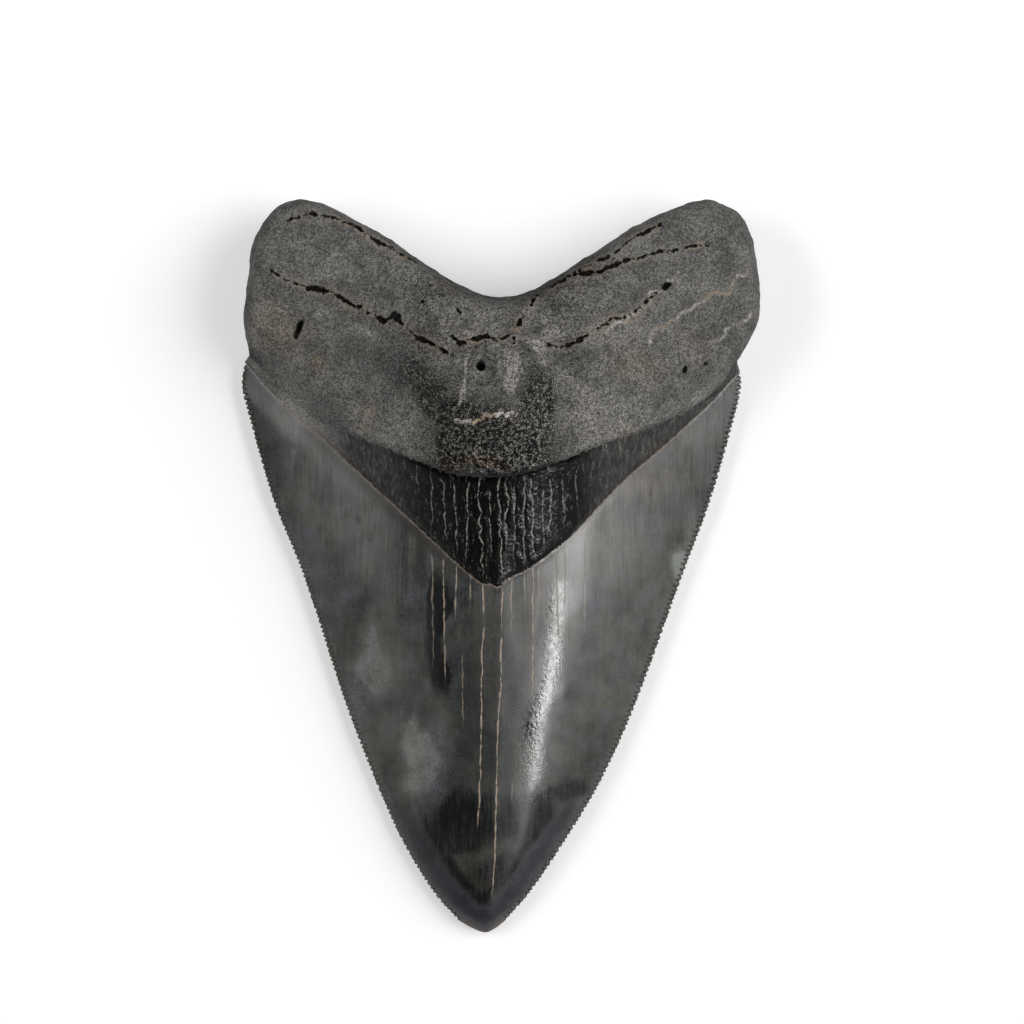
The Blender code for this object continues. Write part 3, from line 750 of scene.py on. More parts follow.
crack = np.zeros(len(space))
crumbs = np.zeros(len(space))
crack_off = np.full(len(space), FAR_OFF)
vein_lines = [
    (wandering_line(points, 210 + i, VEIN_WANDER), strength) for i, (strength, points) in enumerate(VEINS)
]
veins = lines_near(vein_lines, plan)
for i, (half_width, depth, _) in enumerate(FISSURES):
    near = np.flatnonzero((known["fissure_off"][:, i] < CRACK_SURROUNDINGS) & upper)
    off, run = known["fissure_off"][near, i], known["fissure_run"][near, i]
    length = np.linalg.norm(np.diff(fissure_lines[i].points, axis=0), axis=1).sum()
    along_it = np.column_stack([run * length / FISSURE_PATCH, run * 0 + i, run * 0])
    width = half_width * np.maximum(0.66 + 0.85 * grain(along_it, 1.0, 50 + i), THINNEST)
    width *= soft_step(run / CRACK_START) * soft_step((1 - run) / CRACK_END)
    ragged = off + layered(flat_places[near], RAGGED, 60)
    inside_it = np.clip(1 - ragged / np.maximum(width, 1e-5), 0, 1)
    # A crack closes where it runs over the steep back.
    level = soft_step((smooth_normals[near, 2] - STEEP) / STEEP_TO_LEVEL)
    opened = soft_step(inside_it * 1.8) * level
    lip = bell(ragged - 1.7 * width, LIP_WIDTH) * LIP_HEIGHT
    floor_depth = depth * opened * (0.75 + 0.4 * grain(along_it, 0.5, 70 + i))
    lift[near] += lip * level * soft_step(run / CRACK_START) - floor_depth
    crack[near] = np.maximum(crack[near], opened)
    crack_off[near] = np.minimum(crack_off[near], off * 1000 + FAR_OFF * (1 - level))
    beside = level * bell(np.maximum(ragged - width, 0), CRUMBS_REACH)
    beside *= soft_step(run / CRUMBS_END)
    beside *= soft_step((1 - run) / CRUMBS_END)
    beside *= np.clip(0.80 + 0.7 * grain(along_it, 2.5, 90 + i), 0, 1)
    crumbs[near] = np.maximum(crumbs[near], beside)
for x, y, half_length, half_width, turn_degrees, depth in PITS:
    turned = math.radians(turn_degrees)
    away = plan - (x, y)
    forward = away @ (math.cos(turned), math.sin(turned))
    aside = away @ (-math.sin(turned), math.cos(turned))
    off = np.hypot(forward / half_length, aside / half_width)
    off += PIT_RAGGED * grain(flat_places, GRAIN_SIZE, 80)
    opened = soft_step(1.7 * (1 - off)) * upper
    lift -= depth * opened
    crack = np.maximum(crack, opened)
lift[on_rim] = np.where(way[on_rim] > 1.9, RIM_LUMPS * lumps[on_rim], 0)
bone_under = under & (way > 1)
under_lumps = sum(
    height * np.maximum(grain(space, size, 90 + i), 0) for i, (size, height) in enumerate(UNDER_LUMPS)
)
space += smooth_normals * lift[:, None]
space[:, 2] += np.where(bone_under, under_lumps * soft_step(rim_distance / UNDER_FADE), 0)
space[:, 2] = np.maximum(space[:, 2], 0)

low, high = space.min(0), space.max(0)
space[:, :2] = box_low[:2] + (space[:, :2] - low[:2]) * (np.array([WIDTH, LENGTH]) / (high - low)[:2])
space[:, 2] *= THICKNESS / high[2]

sheet.clear_geometry()
sheet.from_pydata(space.tolist(), [], faces.tolist())
sheet.shade_smooth()


def remember(name, values):
    """Keeps a value, or three, at each point for the material to read."""
    kind, field = ("FLOAT", "value") if values.ndim == 1 else ("FLOAT_VECTOR", "vector")
    layer = sheet.attributes.new(name, kind, "POINT")
    layer.data.foreach_set(field, values.astype(np.float32).ravel())


# Stains, and the shade painted with them, are soft ovals (x, y, half width, half height, strength), in mm,
# whose edges the stone's grain makes ragged. Each group is one kind of mark.
# Dark stains, partly painted shade: the dark slope left of the boss, the boss's middle, and the crown's
# darker middle and low part.
DARK_STAINS_AND_SHADE = [
    (-10.3, -11, 1.7, 10.5, 1.2), (-9, -19, 1, 4.6, 0.8), (-0.4, -22, 9, 22, 0.42),
    (-6.6, -42.6, 4.4, 6.4, 0.85), (-2.6, -41.4, 4.6, 5.4, 0.7), (2.4, -41, 4, 5, 0.7),
    (6.6, -42, 4.6, 5.4, 0.75), (12.4, -37.6, 5, 2.4, 0.7), (10.2, -43.5, 2, 3, 0.5),
    (-0.5, -51, 6, 4.5, 0.6), (-9.6, -46.5, 2.4, 3.4, 0.6), (-14.5, -26.5, 1.2, 6, 0.3),
    (7.4, -13, 1, 8, 0.75), (6.4, -26, 1.2, 2.4, 0.7), (-24.2, 6.4, 0.5, 1.4, 0.6),
    (-17.4, 3.6, 0.5, 1.8, 0.5), (-12.5, 1, 1, 6, 0.45), (-21.5, -2, 1.6, 7, 0.3),
    (-1.4, 19.8, 12.6, 7.8, 1), (-24.5, 36.4, 4.6, 2.6, 0.45), (-18.6, 34.4, 4.4, 3.2, 0.6),
    (-14.4, 31.4, 5, 3.8, 0.72), (-10.6, 28.2, 5, 4.6, 0.76), (-7.2, 25.4, 4.6, 5, 0.85),
    (5.4, 27, 3.8, 7.6, 0.85), (12.4, 34.6, 4.8, 2.2, 0.5),
    (-27, 44.6, 5, 1.6, 0.4), (17.5, 41.6, 6, 1.5, 0.4), (-30, 26, 6.5, 3, 0.35),
]
PALE_STAINS = [
    (-1, 42, 8, 3.6, 0.35), (21, 39.6, 8, 4.4, 0.30), (20, -16, 5, 12, 0.40),
    (-35, 22.6, 3.2, 7, 0.7), (-31, 12, 3.2, 9, 0.45), (-26, 4, 7, 12, 0.45), (-17, -22, 5, 12, 0.4),
    (-13.6, -32, 4, 9, 0.9), (-21, -18, 5, 9, 0.75), (-20, -14, 4, 9, 0.45), (-10.5, -30, 2, 7, 0.6),
    (18, 2, 6, 14, 0.4), (14, -14, 3, 12, 0.45), (33, 25, 3.6, 6, 0.45),
    (25, -2, 4, 10, 0.4), (7.8, -34, 3.6, 4.6, 0.6), (9, -24, 2.6, 5, 0.5),
    (31.4, 5, 1.5, 5, 0.7), (29.8, -0.4, 1.3, 3, 0.9),
    (6.2, 36.9, 2.2, 1.6, 0.85), (9, 38.6, 2.2, 1.4, 0.65), (8.9, 41.3, 2, 1.3, 0.65),
    (6.1, 34.6, 1.2, 1.8, 0.65), (-4.4, 38, 2.2, 0.6, 0.8), (-5.6, 30.6, 0.5, 5.8, 0.75),
    (1.9, 31.8, 0.5, 5.2, 0.75), (-30.3, 41.3, 0.6, 0.6, 1), (18, 25, 6.5, 6, 0.45),
    (-22.8, 38.8, 2.6, 1.5, 0.5), (-3.8, 33, 0.5, 3.4, 0.6), (0.4, 33.6, 0.4, 3, 0.5),
    (-19, 23, 6, 4, 0.35), (-30.6, 50, 5, 3, 0.25), (30, 47.5, 6, 4, 0.3),
]
BROWN_STAINS = [
    (-37, 39.4, 4, 4.2, 0.5), (-35, 37, 3.2, 2.8, 0.4), (-30.6, 32.6, 1.3, 1.1, 0.6),
    (-21.4, 25.8, 1.1, 0.9, 0.7), (-22.5, 23.7, 1.6, 0.9, 0.4), (22, 33.6, 4.6, 3, 0.40),
    (31.5, 36, 3, 2.4, 0.3), (-0.4, 16.9, 0.6, 0.5, 1), (-4, 17, 6.5, 1.3, 0.55),
    (-28.5, 45.5, 1.6, 1.2, 0.3), (24, 41, 1.6, 1.4, 0.4), (19.5, 22, 2, 1.2, 0.4),
    (23, 14.5, 7, 3.6, 0.7), (15.5, 6.5, 4, 5, 0.35), (-13.5, 4.5, 2.6, 3, 0.4),
    (6.5, -11, 2.4, 10, 0.4), (-3, -49, 5, 5, 0.3),
]
STAIN_WARP = [(0.0040, 0.0014), (0.0012, 0.0006)]
STREAK_WARP, STREAK_SIZE = 0.0018, (0.0011, 0.010, 1)
UNDER_STAINED = 0.3  # how strong a stain is on the under face
BEVELS_FROM = -0.036  # the bevels beside the tip start below this
BEVEL_WIDTH, BEVEL_LINE, BEVEL_LINE_WIDTH = 4.6, 5.2, 1.1  # in mm, from the cutting edge
STRIP_WIDTH, STRIP_EDGE = 4.6, 1.5
# Strengths of the painted highlight on the right bevel, of the darker strip by the left shoulder and of the
# painted shade in the groove.
BEVEL_HIGHLIGHT, STRIP_DARK, GROOVE_SHADE = 0.65, 0.35, 0.45

underneath = under & ~on_rim
warped = plan.copy()
for i, (size, shift) in enumerate(STAIN_WARP):
    sways = [grain(flat_places, (size, 1.6 * size, 1), 300 + 2 * i + k) for k in range(2)]
    warped += shift * np.column_stack(sways)
above_tip = soft_step((plan_y - BEVELS_FROM) / 0.008)
streaked = STREAK_WARP * grain(flat_places, STREAK_SIZE, 310) * above_tip
warped[:, 1] += np.where(crown, streaked, 0)


def oval_marks(stains_and_painted_light):
    total = np.zeros(len(plan))
    for x, y, half_width, half_height, strength in stains_and_painted_light:
        away = (warped - (x / 1000, y / 1000)) / (half_width / 1000, half_height / 1000)
        total = np.maximum(total, strength * soft_step(1.5 * (1 - (away ** 2).sum(1) ** 0.5 * 0.75)))
    return np.where(underneath, UNDER_STAINED * total, total)


dark = oval_marks(DARK_STAINS_AND_SHADE)
pale = oval_marks(PALE_STAINS)
brown = oval_marks(BROWN_STAINS)
# The bevels beside the tip: the right one gets a painted highlight on its inner part, and a dark line lies
# inside the left one.
mm_in = rim_distance * 1000
tipwards = soft_step((BEVELS_FROM - plan_y) / 0.010) * crown
bevel_zone = soft_step(mm_in / 0.8) * soft_step(BEVEL_WIDTH - mm_in) * tipwards
on_left = plan_x < -0.0015
bevel_line = bell(mm_in - BEVEL_LINE, BEVEL_LINE_WIDTH) * tipwards
bevel_line *= np.where(on_left, 1.0, 0.5)
inner_way = soft_step((mm_in - 2.0) / 2.4)
# Painted highlight on the inner part of the right bevel.
bevel_highlight = np.where(on_left, 0.0, BEVEL_HIGHLIGHT * inner_way) * bevel_zone
pale = np.maximum(pale * (1 - bevel_zone), bevel_highlight)
dark = np.maximum(dark * (1 - 0.8 * bevel_zone), bevel_line)
# A darker flat strip runs in from the left shoulder beside the cutting edge.
by_shoulder = soft_step((plan_y - 0.006) / 0.012) * crown * (plan_x < 0)
shoulder_strip = soft_step((STRIP_WIDTH - mm_in) / STRIP_EDGE) * by_shoulder
dark = np.maximum(dark, STRIP_DARK * shoulder_strip)
pale *= 1 - 0.8 * shoulder_strip
# Painted shade: the stone is darker in the groove beside the enamel's end, on the left.
shaded_groove = bell(enamel_off + 0.0009, 0.0011) * crown * (plan_x < -0.004)
dark = np.maximum(dark, GROOVE_SHADE * shaded_groove)

from_enamel = np.where(underneath, known["under_off"], enamel_off) * 1000
from_root = np.where(underneath, known["under_off"] * 1000 - 0.3, ledge_off * 1000)
remember("from_enamel", from_enamel)
remember("from_root", from_root)
remember("from_rim", mm_in)
remember("stains_and_painted_light", np.column_stack([dark, pale, brown]))
remember("openings", np.column_stack([crack, crumbs, crack_off]))
remember("notch_turns", notch_turns)
remember("shine", np.column_stack([polish, bevel_zone, ~underneath]))
line_names = ("pleats_a", "pleats_b", "cracks_a", "cracks_b", "veins")
for name, values in zip(line_names, [*pleats, *cracks, veins]):
    values[underneath] = (FAR_OFF, FAR_OFF, 0)
    remember(name, values)

# The faces are laid out flat beside each other, the upper one larger, with their steep flanks let out.
UPPER_SHARE = 0.6
FLANK_REACH = 0.0030
MARGIN = 0.01
tilt = np.arccos(np.clip(np.abs(smooth_normals[:, 2]), 0, 1))
level_part = smooth_normals[:, :2]
outward = level_part / np.maximum(np.linalg.norm(level_part, axis=1, keepdims=True), 1e-6)
laid = plan + outward * (tilt * FLANK_REACH * soft_step((way - 0.9) / 0.3))[:, None]
laid = (laid - laid.min(0)) / (laid.max(0) - laid.min(0)) * (1 - 2 * MARGIN) + MARGIN
corner_points = faces.ravel()
corner_under = np.repeat(under[faces].any(1), 3)
u, v = laid[corner_points].T
u = np.where(corner_under, UPPER_SHARE + u * (1 - UPPER_SHARE), u * UPPER_SHARE)
layout = sheet.uv_layers.new(name="OFBake")
layout.uv.foreach_set("vector", np.column_stack([u, v]).astype(np.float32).ravel())

# The colour of the stone. The enamel is slate grey with olive and blue stains drawn out along the
# tooth, the bare band nearly black and glossy, and the root a dull grey with pale and brown specks.
ENAMEL_SLATE = (0.0430, 0.0442, 0.0435)
ENAMEL_OLIVE = (0.0570, 0.0565, 0.0470)
ENAMEL_BLUE = (0.0450, 0.0470, 0.0510)
ENAMEL_WARM = (0.085, 0.074, 0.050)
ENAMEL_DARK = (0.0035, 0.0037, 0.0042)
BEVEL_VIOLET = (0.027, 0.027, 0.033)
CHIPPED = (0.23, 0.25, 0.23)
BAND_BLACK = (0.0012, 0.0011, 0.0010)
BAND_LIMB = (0.030, 0.027, 0.024)
ROOT_GREY = (0.1090, 0.1055, 0.0990)
ROOT_DARK = (0.0560, 0.0545, 0.0515)
ROOT_PALE = (0.230, 0.222, 0.206)
ROOT_WHITE = (0.400, 0.385, 0.360)
ROOT_BROWN = (0.150, 0.112, 0.072)
BOSS_BLACK = (0.0022, 0.0021, 0.0019)
CRUMB_TAN = (0.280, 0.217, 0.164)
CRACK_TAN = (0.305, 0.242, 0.181)
CRACK_BLACK = (0.0016, 0.0014, 0.0012)
GAP_BROWN = (0.0200, 0.0160, 0.0125)
END_TAN = (0.190, 0.145, 0.110)
PLEAT_PALE_AND_GLINT = (0.30, 0.28, 0.25)
EDGE_BROWN = (0.09, 0.06, 0.04)

SPECULAR = 0.32
ENAMEL_ROUGHNESS, BAND_ROUGHNESS = 0.32, 0.20
BONE_ROUGHNESS, BOSS_ROUGHNESS = 0.80, 0.58
# Lines drawn on the stone: their half widths at their thinnest and thickest, and their soft edge, in mm.
HAIR_WIDTHS, HAIR_EDGE = (-0.01, 0.12), 0.09
PLEAT_WIDTHS, PLEAT_EDGE = (-0.02, 0.10), 0.11
END_WIDTHS, END_EDGE = (0.08, 0.27), 0.04
VEIN_WIDTH, VEIN_CORE = 0.36, 0.10
LINE_REACH = 0.55
NOTCH_DIRT = (1.30, 0.50)  # mm in from the cutting edge where the dirt in a notch starts and is full
NOTCH_BROWN = (0.75, 0.20)
# The root's steep flank near the rim gets painted shade.
RIM_SHADE = (2.2, 0.4)  # mm in from the rim where the root's flank starts to darken and is darkest
# Heights too fine for the mesh, as shares of FINE_RELIEF.
FINE_RELIEF = 0.00014
ROOT_GRIT, ROOT_SPECKLE = 0.50, 2.2
BAND_PLEATS, BAND_SPECKLE = 0.16, 0.40
ENAMEL_STREAKS, ENAMEL_GRIT, ENAMEL_SPECKLE, POLISHED_SPECKLE = 0.014, 0.010, 0.03, 0.24
HAIR_SINK = 0.15

stone = bpy.data.materials.new("fossil_enamel_and_bone")
stone.use_nodes = True
nodes, links = stone.node_tree.nodes, stone.node_tree.links
shader = nodes["Principled BSDF"]
shader.inputs["Specular IOR Level"].default_value = SPECULAR
here = nodes.new("ShaderNodeTexCoord").outputs["Object"]


def put(value, socket):
    """Sets a socket to a number or a colour, or joins it to what another node gives."""
    if isinstance(value, bpy.types.NodeSocket):
        links.new(value, socket)
    else:
        socket.default_value = (*value, 1) if isinstance(value, tuple) else value


def calc(operation, *values):
    node = nodes.new("ShaderNodeMath")
    node.operation = operation
    for value, socket in zip(values, node.inputs):
        put(value, socket)
    return node.outputs[0]


def times(first, *others):
    for other in others:
        first = calc("MULTIPLY", first, other)
    return first


def plus(first, *others):
    for other in others:
        first = calc("ADD", first, other)
    return first


def scaled(value, factor, shift):
    return calc("MULTIPLY_ADD", value, factor, shift)


def spread(value, low, high, to_low=0.0, to_high=1.0):
    """The value's smooth way from low to high, as a way from to_low to to_high."""
    node = nodes.new("ShaderNodeMapRange")
    node.interpolation_type = "SMOOTHSTEP"
    for part, socket in zip((value, low, high, to_low, to_high), node.inputs):
        put(part, socket)
    return node.outputs[0]


def tint(share, first, second, blend="MIX"):
    node = nodes.new("ShaderNodeMix")
    node.data_type = "RGBA"
    node.blend_type = blend
    node.clamp_factor = True
    for part, socket in zip((share, first, second), (node.inputs[0], node.inputs[6], node.inputs[7])):
        put(part, socket)
    return node.outputs[2]


def coated(base, *coats):
    """The base colour under other colours, laid on one after another as (share, colour)."""
    for share, colour in coats:
        base = tint(share, base, colour)
    return base


def mottle(size, detail=2.0, roughness=0.5, at=0.0):
    """Noise from 0 to 1 with patches of the given size in mm, one size or one for each axis."""
    mapping = nodes.new("ShaderNodeMapping")
    sizes = size if isinstance(size, tuple) else (size, size, size)
    mapping.inputs["Scale"].default_value = [1000 / s for s in sizes]
    mapping.inputs["Location"].default_value = (at, at * 0.7, at * 1.3)
    links.new(here, mapping.inputs["Vector"])
    node = nodes.new("ShaderNodeTexNoise")
    node.inputs["Scale"].default_value = 1.0
    node.inputs["Detail"].default_value = detail
    node.inputs["Roughness"].default_value = roughness
    links.new(mapping.outputs[0], node.inputs["Vector"])
    return node.outputs["Fac"]


def kept(name):
    """The value that the mesh keeps under the name."""
    node = nodes.new("ShaderNodeAttribute")
    node.attribute_name = name
    return node.outputs["Fac"]


def kept_three(name):
    node = nodes.new("ShaderNodeAttribute")
    node.attribute_name = name
    parts = nodes.new("ShaderNodeSeparateXYZ")
    links.new(node.outputs["Vector"], parts.inputs[0])
    return tuple(parts.outputs)


def line_mask(name, half_width, edge):
    """1 on the lines of both sets kept under the name, at their strength, and 0 away from them."""
    masks = []
    for part in ("_a", "_b"):
        signed, plain, strength = kept_three(name + part)
        on_line = spread(calc("ABSOLUTE", signed), plus(half_width, edge), half_width)
        masks.append(times(on_line, strength, calc("LESS_THAN", plain, LINE_REACH)))
    return calc("MAXIMUM", *masks)


grit = mottle(0.20, 2.0, 0.7)
speckle = mottle(0.55, 2.0, 0.6, at=3.0)
clouds = mottle(3.6, 4.0, 0.65, at=7.0)
drift = mottle((7.0, 12.0, 10.0), 3.0, 0.6, at=1.0)
streaks = mottle((0.40, 6.0, 4.0), 3.0, 0.7, at=21.0)
breaks = mottle((0.7, 1.1, 1.0), 2.0, 0.6, at=31.0)

grains = plus(times(grit, 0.68), times(speckle, 0.32))
from_enamel = kept("from_enamel")
from_root = kept("from_root")
from_rim = kept("from_rim")
dark, pale, brown = kept_three("stains_and_painted_light")
open_crack, crumbs, crack_off = kept_three("openings")
polish, bevel_zone, upper_face = kept_three("shine")
wobble = scaled(speckle, 0.8, -0.40)
to_band = spread(plus(from_enamel, times(wobble, 0.5)), -0.05, 0.10)
to_root = spread(plus(from_root, times(wobble, 1.6)), -0.15, 0.20)
place = nodes.new("ShaderNodeSeparateXYZ")
links.new(here, place.inputs[0])
side_x = place.outputs["X"]

# The enamel's tone: soft clouds, upright streaks strongest below the band, grit, stains, painted shade and
# highlight.
near_band = spread(from_enamel, -24.0, -3.0, 0.25, 1.0)
tone = plus(
    scaled(clouds, 2.4, -0.25),
    times(calc("SUBTRACT", streaks, 0.5), near_band, 2.4),
    scaled(grit, 1.8, -0.9),
    times(pale, 1.3),
)
uneven = plus(times(streaks, 2.0), plus(times(clouds, 1.6), times(speckle, 0.8)))
darkened = spread(times(dark, plus(uneven, -1.2)), 0.12, 0.95)
chips = spread(plus(pale, plus(times(speckle, 0.5), times(clouds, 0.7))), 1.15, 1.75)
hair_width = spread(plus(times(breaks, 0.5), times(clouds, 0.5)), 0.40, 0.62, *HAIR_WIDTHS)
hairs = times(line_mask("cracks", hair_width, HAIR_EDGE), spread(breaks, 0.30, 0.42, 0.35, 1.0))
# Each notch in the cutting edge holds dark dirt, with brown beside it.
edge_way = calc("ABSOLUTE", calc("SUBTRACT", calc("FRACT", kept("notch_turns")), 0.5))
notch_dirt = times(spread(edge_way, 0.34, 0.16), spread(plus(from_rim, wobble), *NOTCH_DIRT))
notch_brown = times(spread(edge_way, 0.20, 0.36), spread(plus(from_rim, wobble), *NOTCH_BROWN))
enamel = coated(
    tint(spread(drift, 0.38, 0.62), ENAMEL_SLATE, ENAMEL_OLIVE),
    (spread(clouds, 0.50, 0.66), ENAMEL_BLUE),
    (times(brown, 0.8), ENAMEL_WARM),
    (bevel_zone, BEVEL_VIOLET),
)
enamel = coated(
    tint(1.0, enamel, calc("MAXIMUM", tone, 0.25), "MULTIPLY"),
    (darkened, ENAMEL_DARK),
    (times(spread(streaks, 0.38, 0.28), near_band, 0.7), ENAMEL_DARK),
    (times(chips, 0.75), CHIPPED),
    (times(spread(speckle, 0.30, 0.24), 0.8), ENAMEL_DARK),
    (hairs, CRACK_TAN),
    (times(notch_brown, 0.8), EDGE_BROWN),
    (times(notch_dirt, 0.9), CRACK_BLACK),
)

# The band is blackest in the middle. Its left end is crumbled like the root.
limb = spread(calc("ABSOLUTE", side_x), 0.011, 0.021)
left_limb = spread(plus(side_x, times(wobble, 0.004)), -0.024, -0.029)
pleat_grain = mottle((0.42, 2.2, 1.0), 2.0, 0.65, at=61.0)
pleat_width = spread(plus(times(breaks, 0.5), times(speckle, 0.5)), 0.40, 0.62, *PLEAT_WIDTHS)
broken = (spread(grains, 0.38, 0.52), spread(breaks, 0.32, 0.46, 0.25, 1.0))
bare = coated(
    tint(1.0, tint(limb, BAND_BLACK, BAND_LIMB), scaled(grit, 1.6, 0.2), "MULTIPLY"),
    (times(spread(pleat_grain, 0.52, 0.42), 0.95), CRACK_BLACK),
    (times(spread(pleat_grain, 0.56, 0.70), spread(grit, 0.48, 0.60), 0.7), ROOT_PALE),
    # The pale lines along the pleats are partly pale cracks and partly painted glints.
    (times(line_mask("pleats", pleat_width, PLEAT_EDGE), *broken), PLEAT_PALE_AND_GLINT),
)

# The root: grit from nearly black to pale over soft clouds, blacker and coarser on the boss, whose black is
# partly painted shade, with pale grains painted on it as glints. White powder, crumbs and mineral veins lie
# on it, and its cracks gape over all.
darkest = spread(plus(dark, scaled(speckle, 0.9, times(clouds, 0.9))), 1.10, 1.80)
glints = times(spread(grit, 0.46, 0.63), spread(plus(times(speckle, 0.6), times(breaks, 0.4)), 0.43, 0.59))
powder = spread(plus(pale, scaled(breaks, 1.2, -0.6)), 0.42, 0.85)
crumb_grains = times(spread(grains, 0.39, 0.53), spread(breaks, 0.36, 0.50, 0.5, 1.0))
_, vein_off, vein_strength = kept_three("veins")
vein = spread(plus(vein_off, times(wobble, 1.6)), VEIN_WIDTH, VEIN_CORE)
fine_gap = times(spread(plus(crack_off, times(wobble, 1.6)), 0.12, 0.04), spread(breaks, 0.36, 0.50))
wide_gap = spread(plus(open_crack, scaled(grains, 1.6, -0.8)), 0.10, 0.40)
gap = calc("MAXIMUM", wide_gap, times(fine_gap, 0.85))
flank = times(spread(from_rim, *RIM_SHADE), upper_face)
bone = coated(
    tint(spread(clouds, 0.34, 0.66), ROOT_DARK, ROOT_GREY),
    (times(pale, 0.45), ROOT_PALE),
    (times(brown, spread(breaks, 0.35, 0.60, 0.4, 1.0), 0.8), ROOT_BROWN),
    (darkest, BOSS_BLACK),
)
bone = coated(
    tint(1.0, bone, spread(grains, 0.42, 0.67, 0.48, 3.1), "MULTIPLY"),
    (times(spread(grains, 0.42, 0.34), spread(breaks, 0.56, 0.46)), CRACK_BLACK),
    (times(spread(grains, 0.57, 0.68), 0.45), ROOT_PALE),
    (times(spread(grains, 0.66, 0.72), 0.7), ROOT_WHITE),
    # Painted glints: pale and tan grains on the boss's black.
    (times(glints, darkest), tint(spread(brown, 0.1, 0.5), ROOT_PALE, CRUMB_TAN)),
    (times(powder, spread(grains, 0.44, 0.60), 0.85), ROOT_WHITE),
    (
        times(crumbs, crumb_grains, spread(grit, 0.40, 0.56, 0.6, 1.0)),
        tint(spread(clouds, 0.48, 0.56), CRUMB_TAN, ROOT_PALE),
    ),
    (
        times(vein, spread(vein_strength, 0.0, 0.5), spread(grains, 0.38, 0.50)),
        tint(spread(clouds, 0.46, 0.54), ROOT_WHITE, CRUMB_TAN),
    ),
    (gap, tint(spread(grains, 0.46, 0.60), CRACK_BLACK, GAP_BROWN)),
    # Painted shade on the root's steep flanks.
    (times(flank, 0.35), BOSS_BLACK),
)

# Where the enamel ends, tan dirt lies in the groove in broken stretches.
end_off = calc("ABSOLUTE", plus(from_enamel, times(wobble, 0.6)))
end_line = times(spread(end_off, spread(breaks, 0.32, 0.60, *END_WIDTHS), END_EDGE), upper_face)
from_middle = calc("ABSOLUTE", calc("SUBTRACT", side_x, -0.003))
end_colour = tint(spread(from_middle, 0.031, 0.036), END_TAN, ROOT_PALE)
colour = coated(
    enamel,
    (to_band, tint(left_limb, bare, bone)),
    (to_root, bone),
    (times(end_line, spread(grains, 0.35, 0.49), 0.95), end_colour),
)
links.new(colour, shader.inputs["Base Color"])

# Painted shade: the gaps, the black pores between the boss's grains and the hollow under its ledge are made
# metallic over their near-black colour, so that they send no light back.
pore_shade = times(darkest, spread(grains, 0.56, 0.44), 0.8)
crack_shade = times(gap, spread(grains, 0.54, 0.44, 0.45, 0.95))
mid_band = spread(calc("ABSOLUTE", side_x), 0.020, 0.012)
ledge_shadow = times(to_band, spread(from_root, -1.3, -0.2), mid_band, 0.9)
links.new(calc("MAXIMUM", times(calc("MAXIMUM", crack_shade, pore_shade), to_root), ledge_shadow), shader.inputs["Metallic"])

polished = times(polish, spread(breaks, 0.36, 0.60, 0.08, 0.22))
gloss = plus(
    calc("SUBTRACT", spread(to_band, 0.0, 1.0, ENAMEL_ROUGHNESS, BAND_ROUGHNESS), polished),
    times(to_band, spread(from_root, -1.4, -0.2), 0.08),
    scaled(grit, 0.20, -0.10),
    times(limb, to_band, 0.30),
    spread(drift, 0.3, 0.7, -0.04, 0.06),
)
bone_gloss = plus(spread(darkest, 0.0, 1.0, BONE_ROUGHNESS, BOSS_ROUGHNESS), times(flank, 0.5))
blend = nodes.new("ShaderNodeMix")
for value, socket in zip((to_root, gloss, bone_gloss), (blend.inputs[0], blend.inputs[2], blend.inputs[3])):
    put(value, socket)
links.new(plus(blend.outputs[0], times(hairs, 0.3)), shader.inputs["Roughness"])

# The root's grains, the band's pleats, the enamel's wrinkles and its hairlines, too fine for the mesh.
root_fine = times(plus(times(grit, ROOT_GRIT), times(speckle, ROOT_SPECKLE)), to_root)
band_fine = times(plus(times(pleat_grain, BAND_PLEATS), times(speckle, BAND_SPECKLE)), to_band)
enamel_fine = plus(
    times(streaks, ENAMEL_STREAKS),
    times(grit, ENAMEL_GRIT),
    times(speckle, scaled(polish, POLISHED_SPECKLE, ENAMEL_SPECKLE)),
)
fine = plus(plus(root_fine, band_fine), calc("SUBTRACT", enamel_fine, times(hairs, HAIR_SINK)))
bump = nodes.new("ShaderNodeBump")
bump.inputs["Strength"].default_value = 1.0
bump.inputs["Distance"].default_value = FINE_RELIEF
links.new(fine, bump.inputs["Height"])
links.new(bump.outputs[0], shader.inputs["Normal"])

tooth.data.materials.clear()
tooth.data.materials.append(stone)
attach(tooth, "root")
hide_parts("tooth")

# --------------------------------------------------
# The floor is a plain pale sheet that the tooth lies on.
# --------------------------------------------------
FLOOR_SIZE = 6
FLOOR_GAP = 0.00005  # just below the tooth, so that the two faces don't flicker through each other
FLOOR_WHITE = (0.90, 0.90, 0.90, 1)
FLOOR_GLOW = 0.32
FLOOR_ROUGHNESS, FLOOR_SPECULAR = 0.9, 0.1

bpy.ops.object.select_all(action="DESELECT")
bpy.ops.mesh.primitive_plane_add(size=FLOOR_SIZE, location=(0, 0, -FLOOR_GAP))
floor = bpy.context.object
floor.name = "floor"
paper = bpy.data.materials.new("pale_floor")
paper.use_nodes = True
for name, value in {
    "Base Color": FLOOR_WHITE,
    "Roughness": FLOOR_ROUGHNESS,
    "Specular IOR Level": FLOOR_SPECULAR,
    "Emission Color": FLOOR_WHITE,
    "Emission Strength": FLOOR_GLOW,
}.items():
    paper.node_tree.nodes["Principled BSDF"].inputs[name].default_value = value
floor.data.materials.append(paper)

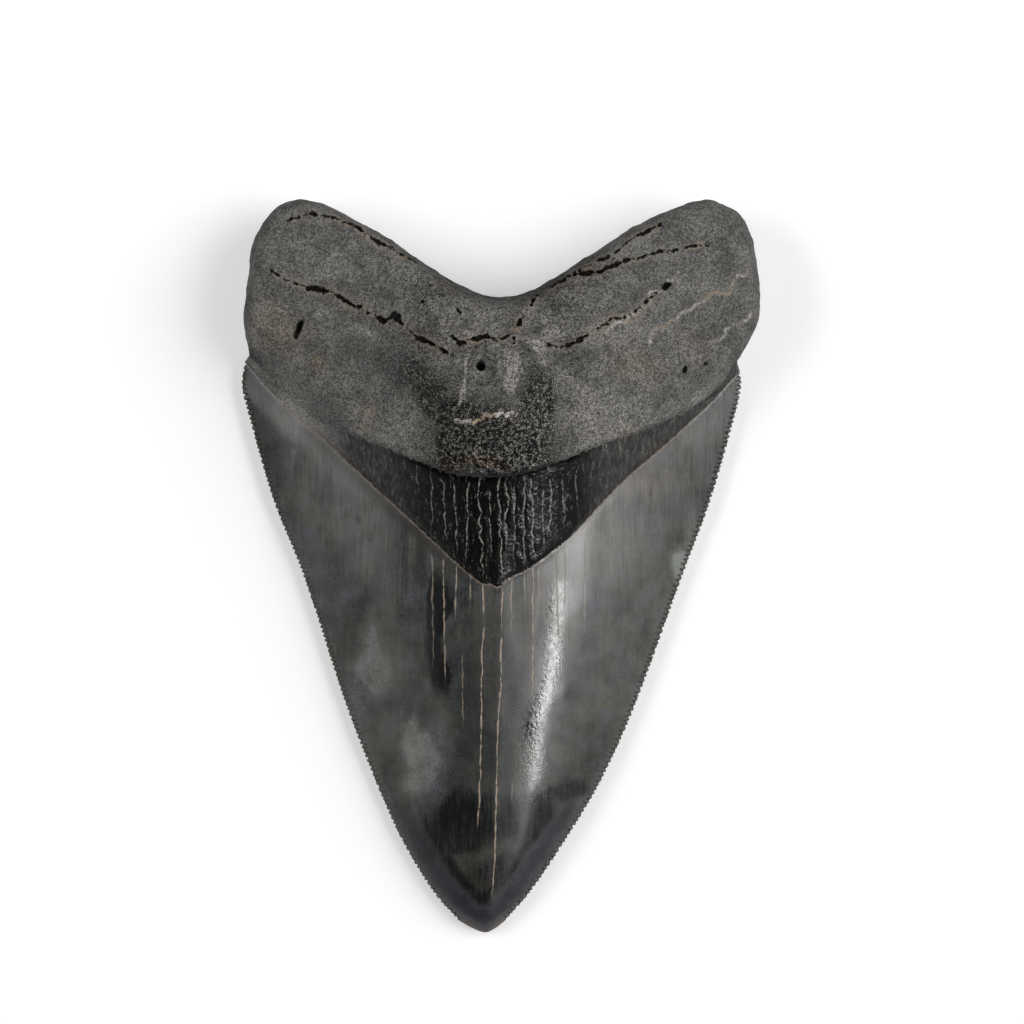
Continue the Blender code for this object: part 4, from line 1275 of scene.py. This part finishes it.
# --------------------------------------------------
# The light is a broad soft box on the right, a dimmer one on the left, a narrow strip high on the
# right that the enamel's ridge catches, and a dim room that is paler near the floor.
# --------------------------------------------------
# Each light has its place, its width and height, its radiance and its turn in degrees.
LIGHTS = {
    "key_box": ((0.60, 0.12, 0.46), (0.72, 0.72), 3.4, 0),
    "fill_box": ((-0.60, 0.15, 0.55), (0.40, 0.60), 4.0, 0),
    "strip": ((0.288, -0.12, 0.58), (0.12, 0.47), 28.0, 30),
}
ROOM_LOW, ROOM_HIGH = 0.45, 0.05
FADE_FROM, FADE_TO = 0.15, 0.85  # the shares of the way from floor to ceiling where the room dims

for name, (where, size, radiance, turn) in LIGHTS.items():
    lamp = bpy.data.lights.new(name, "AREA")
    lamp.shape = "RECTANGLE"
    lamp.size, lamp.size_y = size
    lamp.energy = radiance * math.pi * size[0] * size[1]
    light = bpy.data.objects.new(name, lamp)
    light.location = where
    back = Vector(where).normalized()
    aside = Matrix.Rotation(math.radians(turn), 3, back) @ Vector((0, 1, 0)).cross(back).normalized()
    light.rotation_euler = Matrix((aside, back.cross(aside), back)).transposed().to_euler()
    light.visible_camera = False
    light.visible_diffuse = name != "strip"
    bpy.context.scene.collection.objects.link(light)

room = bpy.data.worlds.new("pale_room")
room.use_nodes = True
bpy.context.scene.world = room
room_nodes, room_links = room.node_tree.nodes, room.node_tree.links
facing = room_nodes.new("ShaderNodeTexCoord")
split_up = room_nodes.new("ShaderNodeSeparateXYZ")
rise = room_nodes.new("ShaderNodeMapRange")
limits = {"From Min": FADE_FROM, "From Max": FADE_TO, "To Min": ROOM_LOW, "To Max": ROOM_HIGH}
for name, value in limits.items():
    rise.inputs[name].default_value = value
room_links.new(facing.outputs["Generated"], split_up.inputs[0])
room_links.new(split_up.outputs["Z"], rise.inputs["Value"])
room_links.new(rise.outputs[0], room_nodes["Background"].inputs["Strength"])
room_nodes["Background"].inputs["Color"].default_value = (1, 1, 1, 1)

# --------------------------------------------------
# The camera looks straight down from far off, with the tip of the tooth towards the foot of the frame.
# --------------------------------------------------
FRAME_WIDTH = 0.170
FRAME_CENTRE = (0.0019, 0.00905)
FRAME_HEIGHT_ABOVE = 0.003
LENS, SENSOR = 300, 36
NEAREST = 0.01

lens = bpy.data.cameras.new("camera")
lens.lens, lens.sensor_width = LENS, SENSOR
lens.clip_start = NEAREST
camera = bpy.data.objects.new("camera", lens)
camera.location = (*FRAME_CENTRE, FRAME_WIDTH * LENS / SENSOR + FRAME_HEIGHT_ABOVE)
bpy.context.scene.collection.objects.link(camera)
bpy.context.scene.camera = camera
bpy.context.scene.view_settings.view_transform = "Standard"
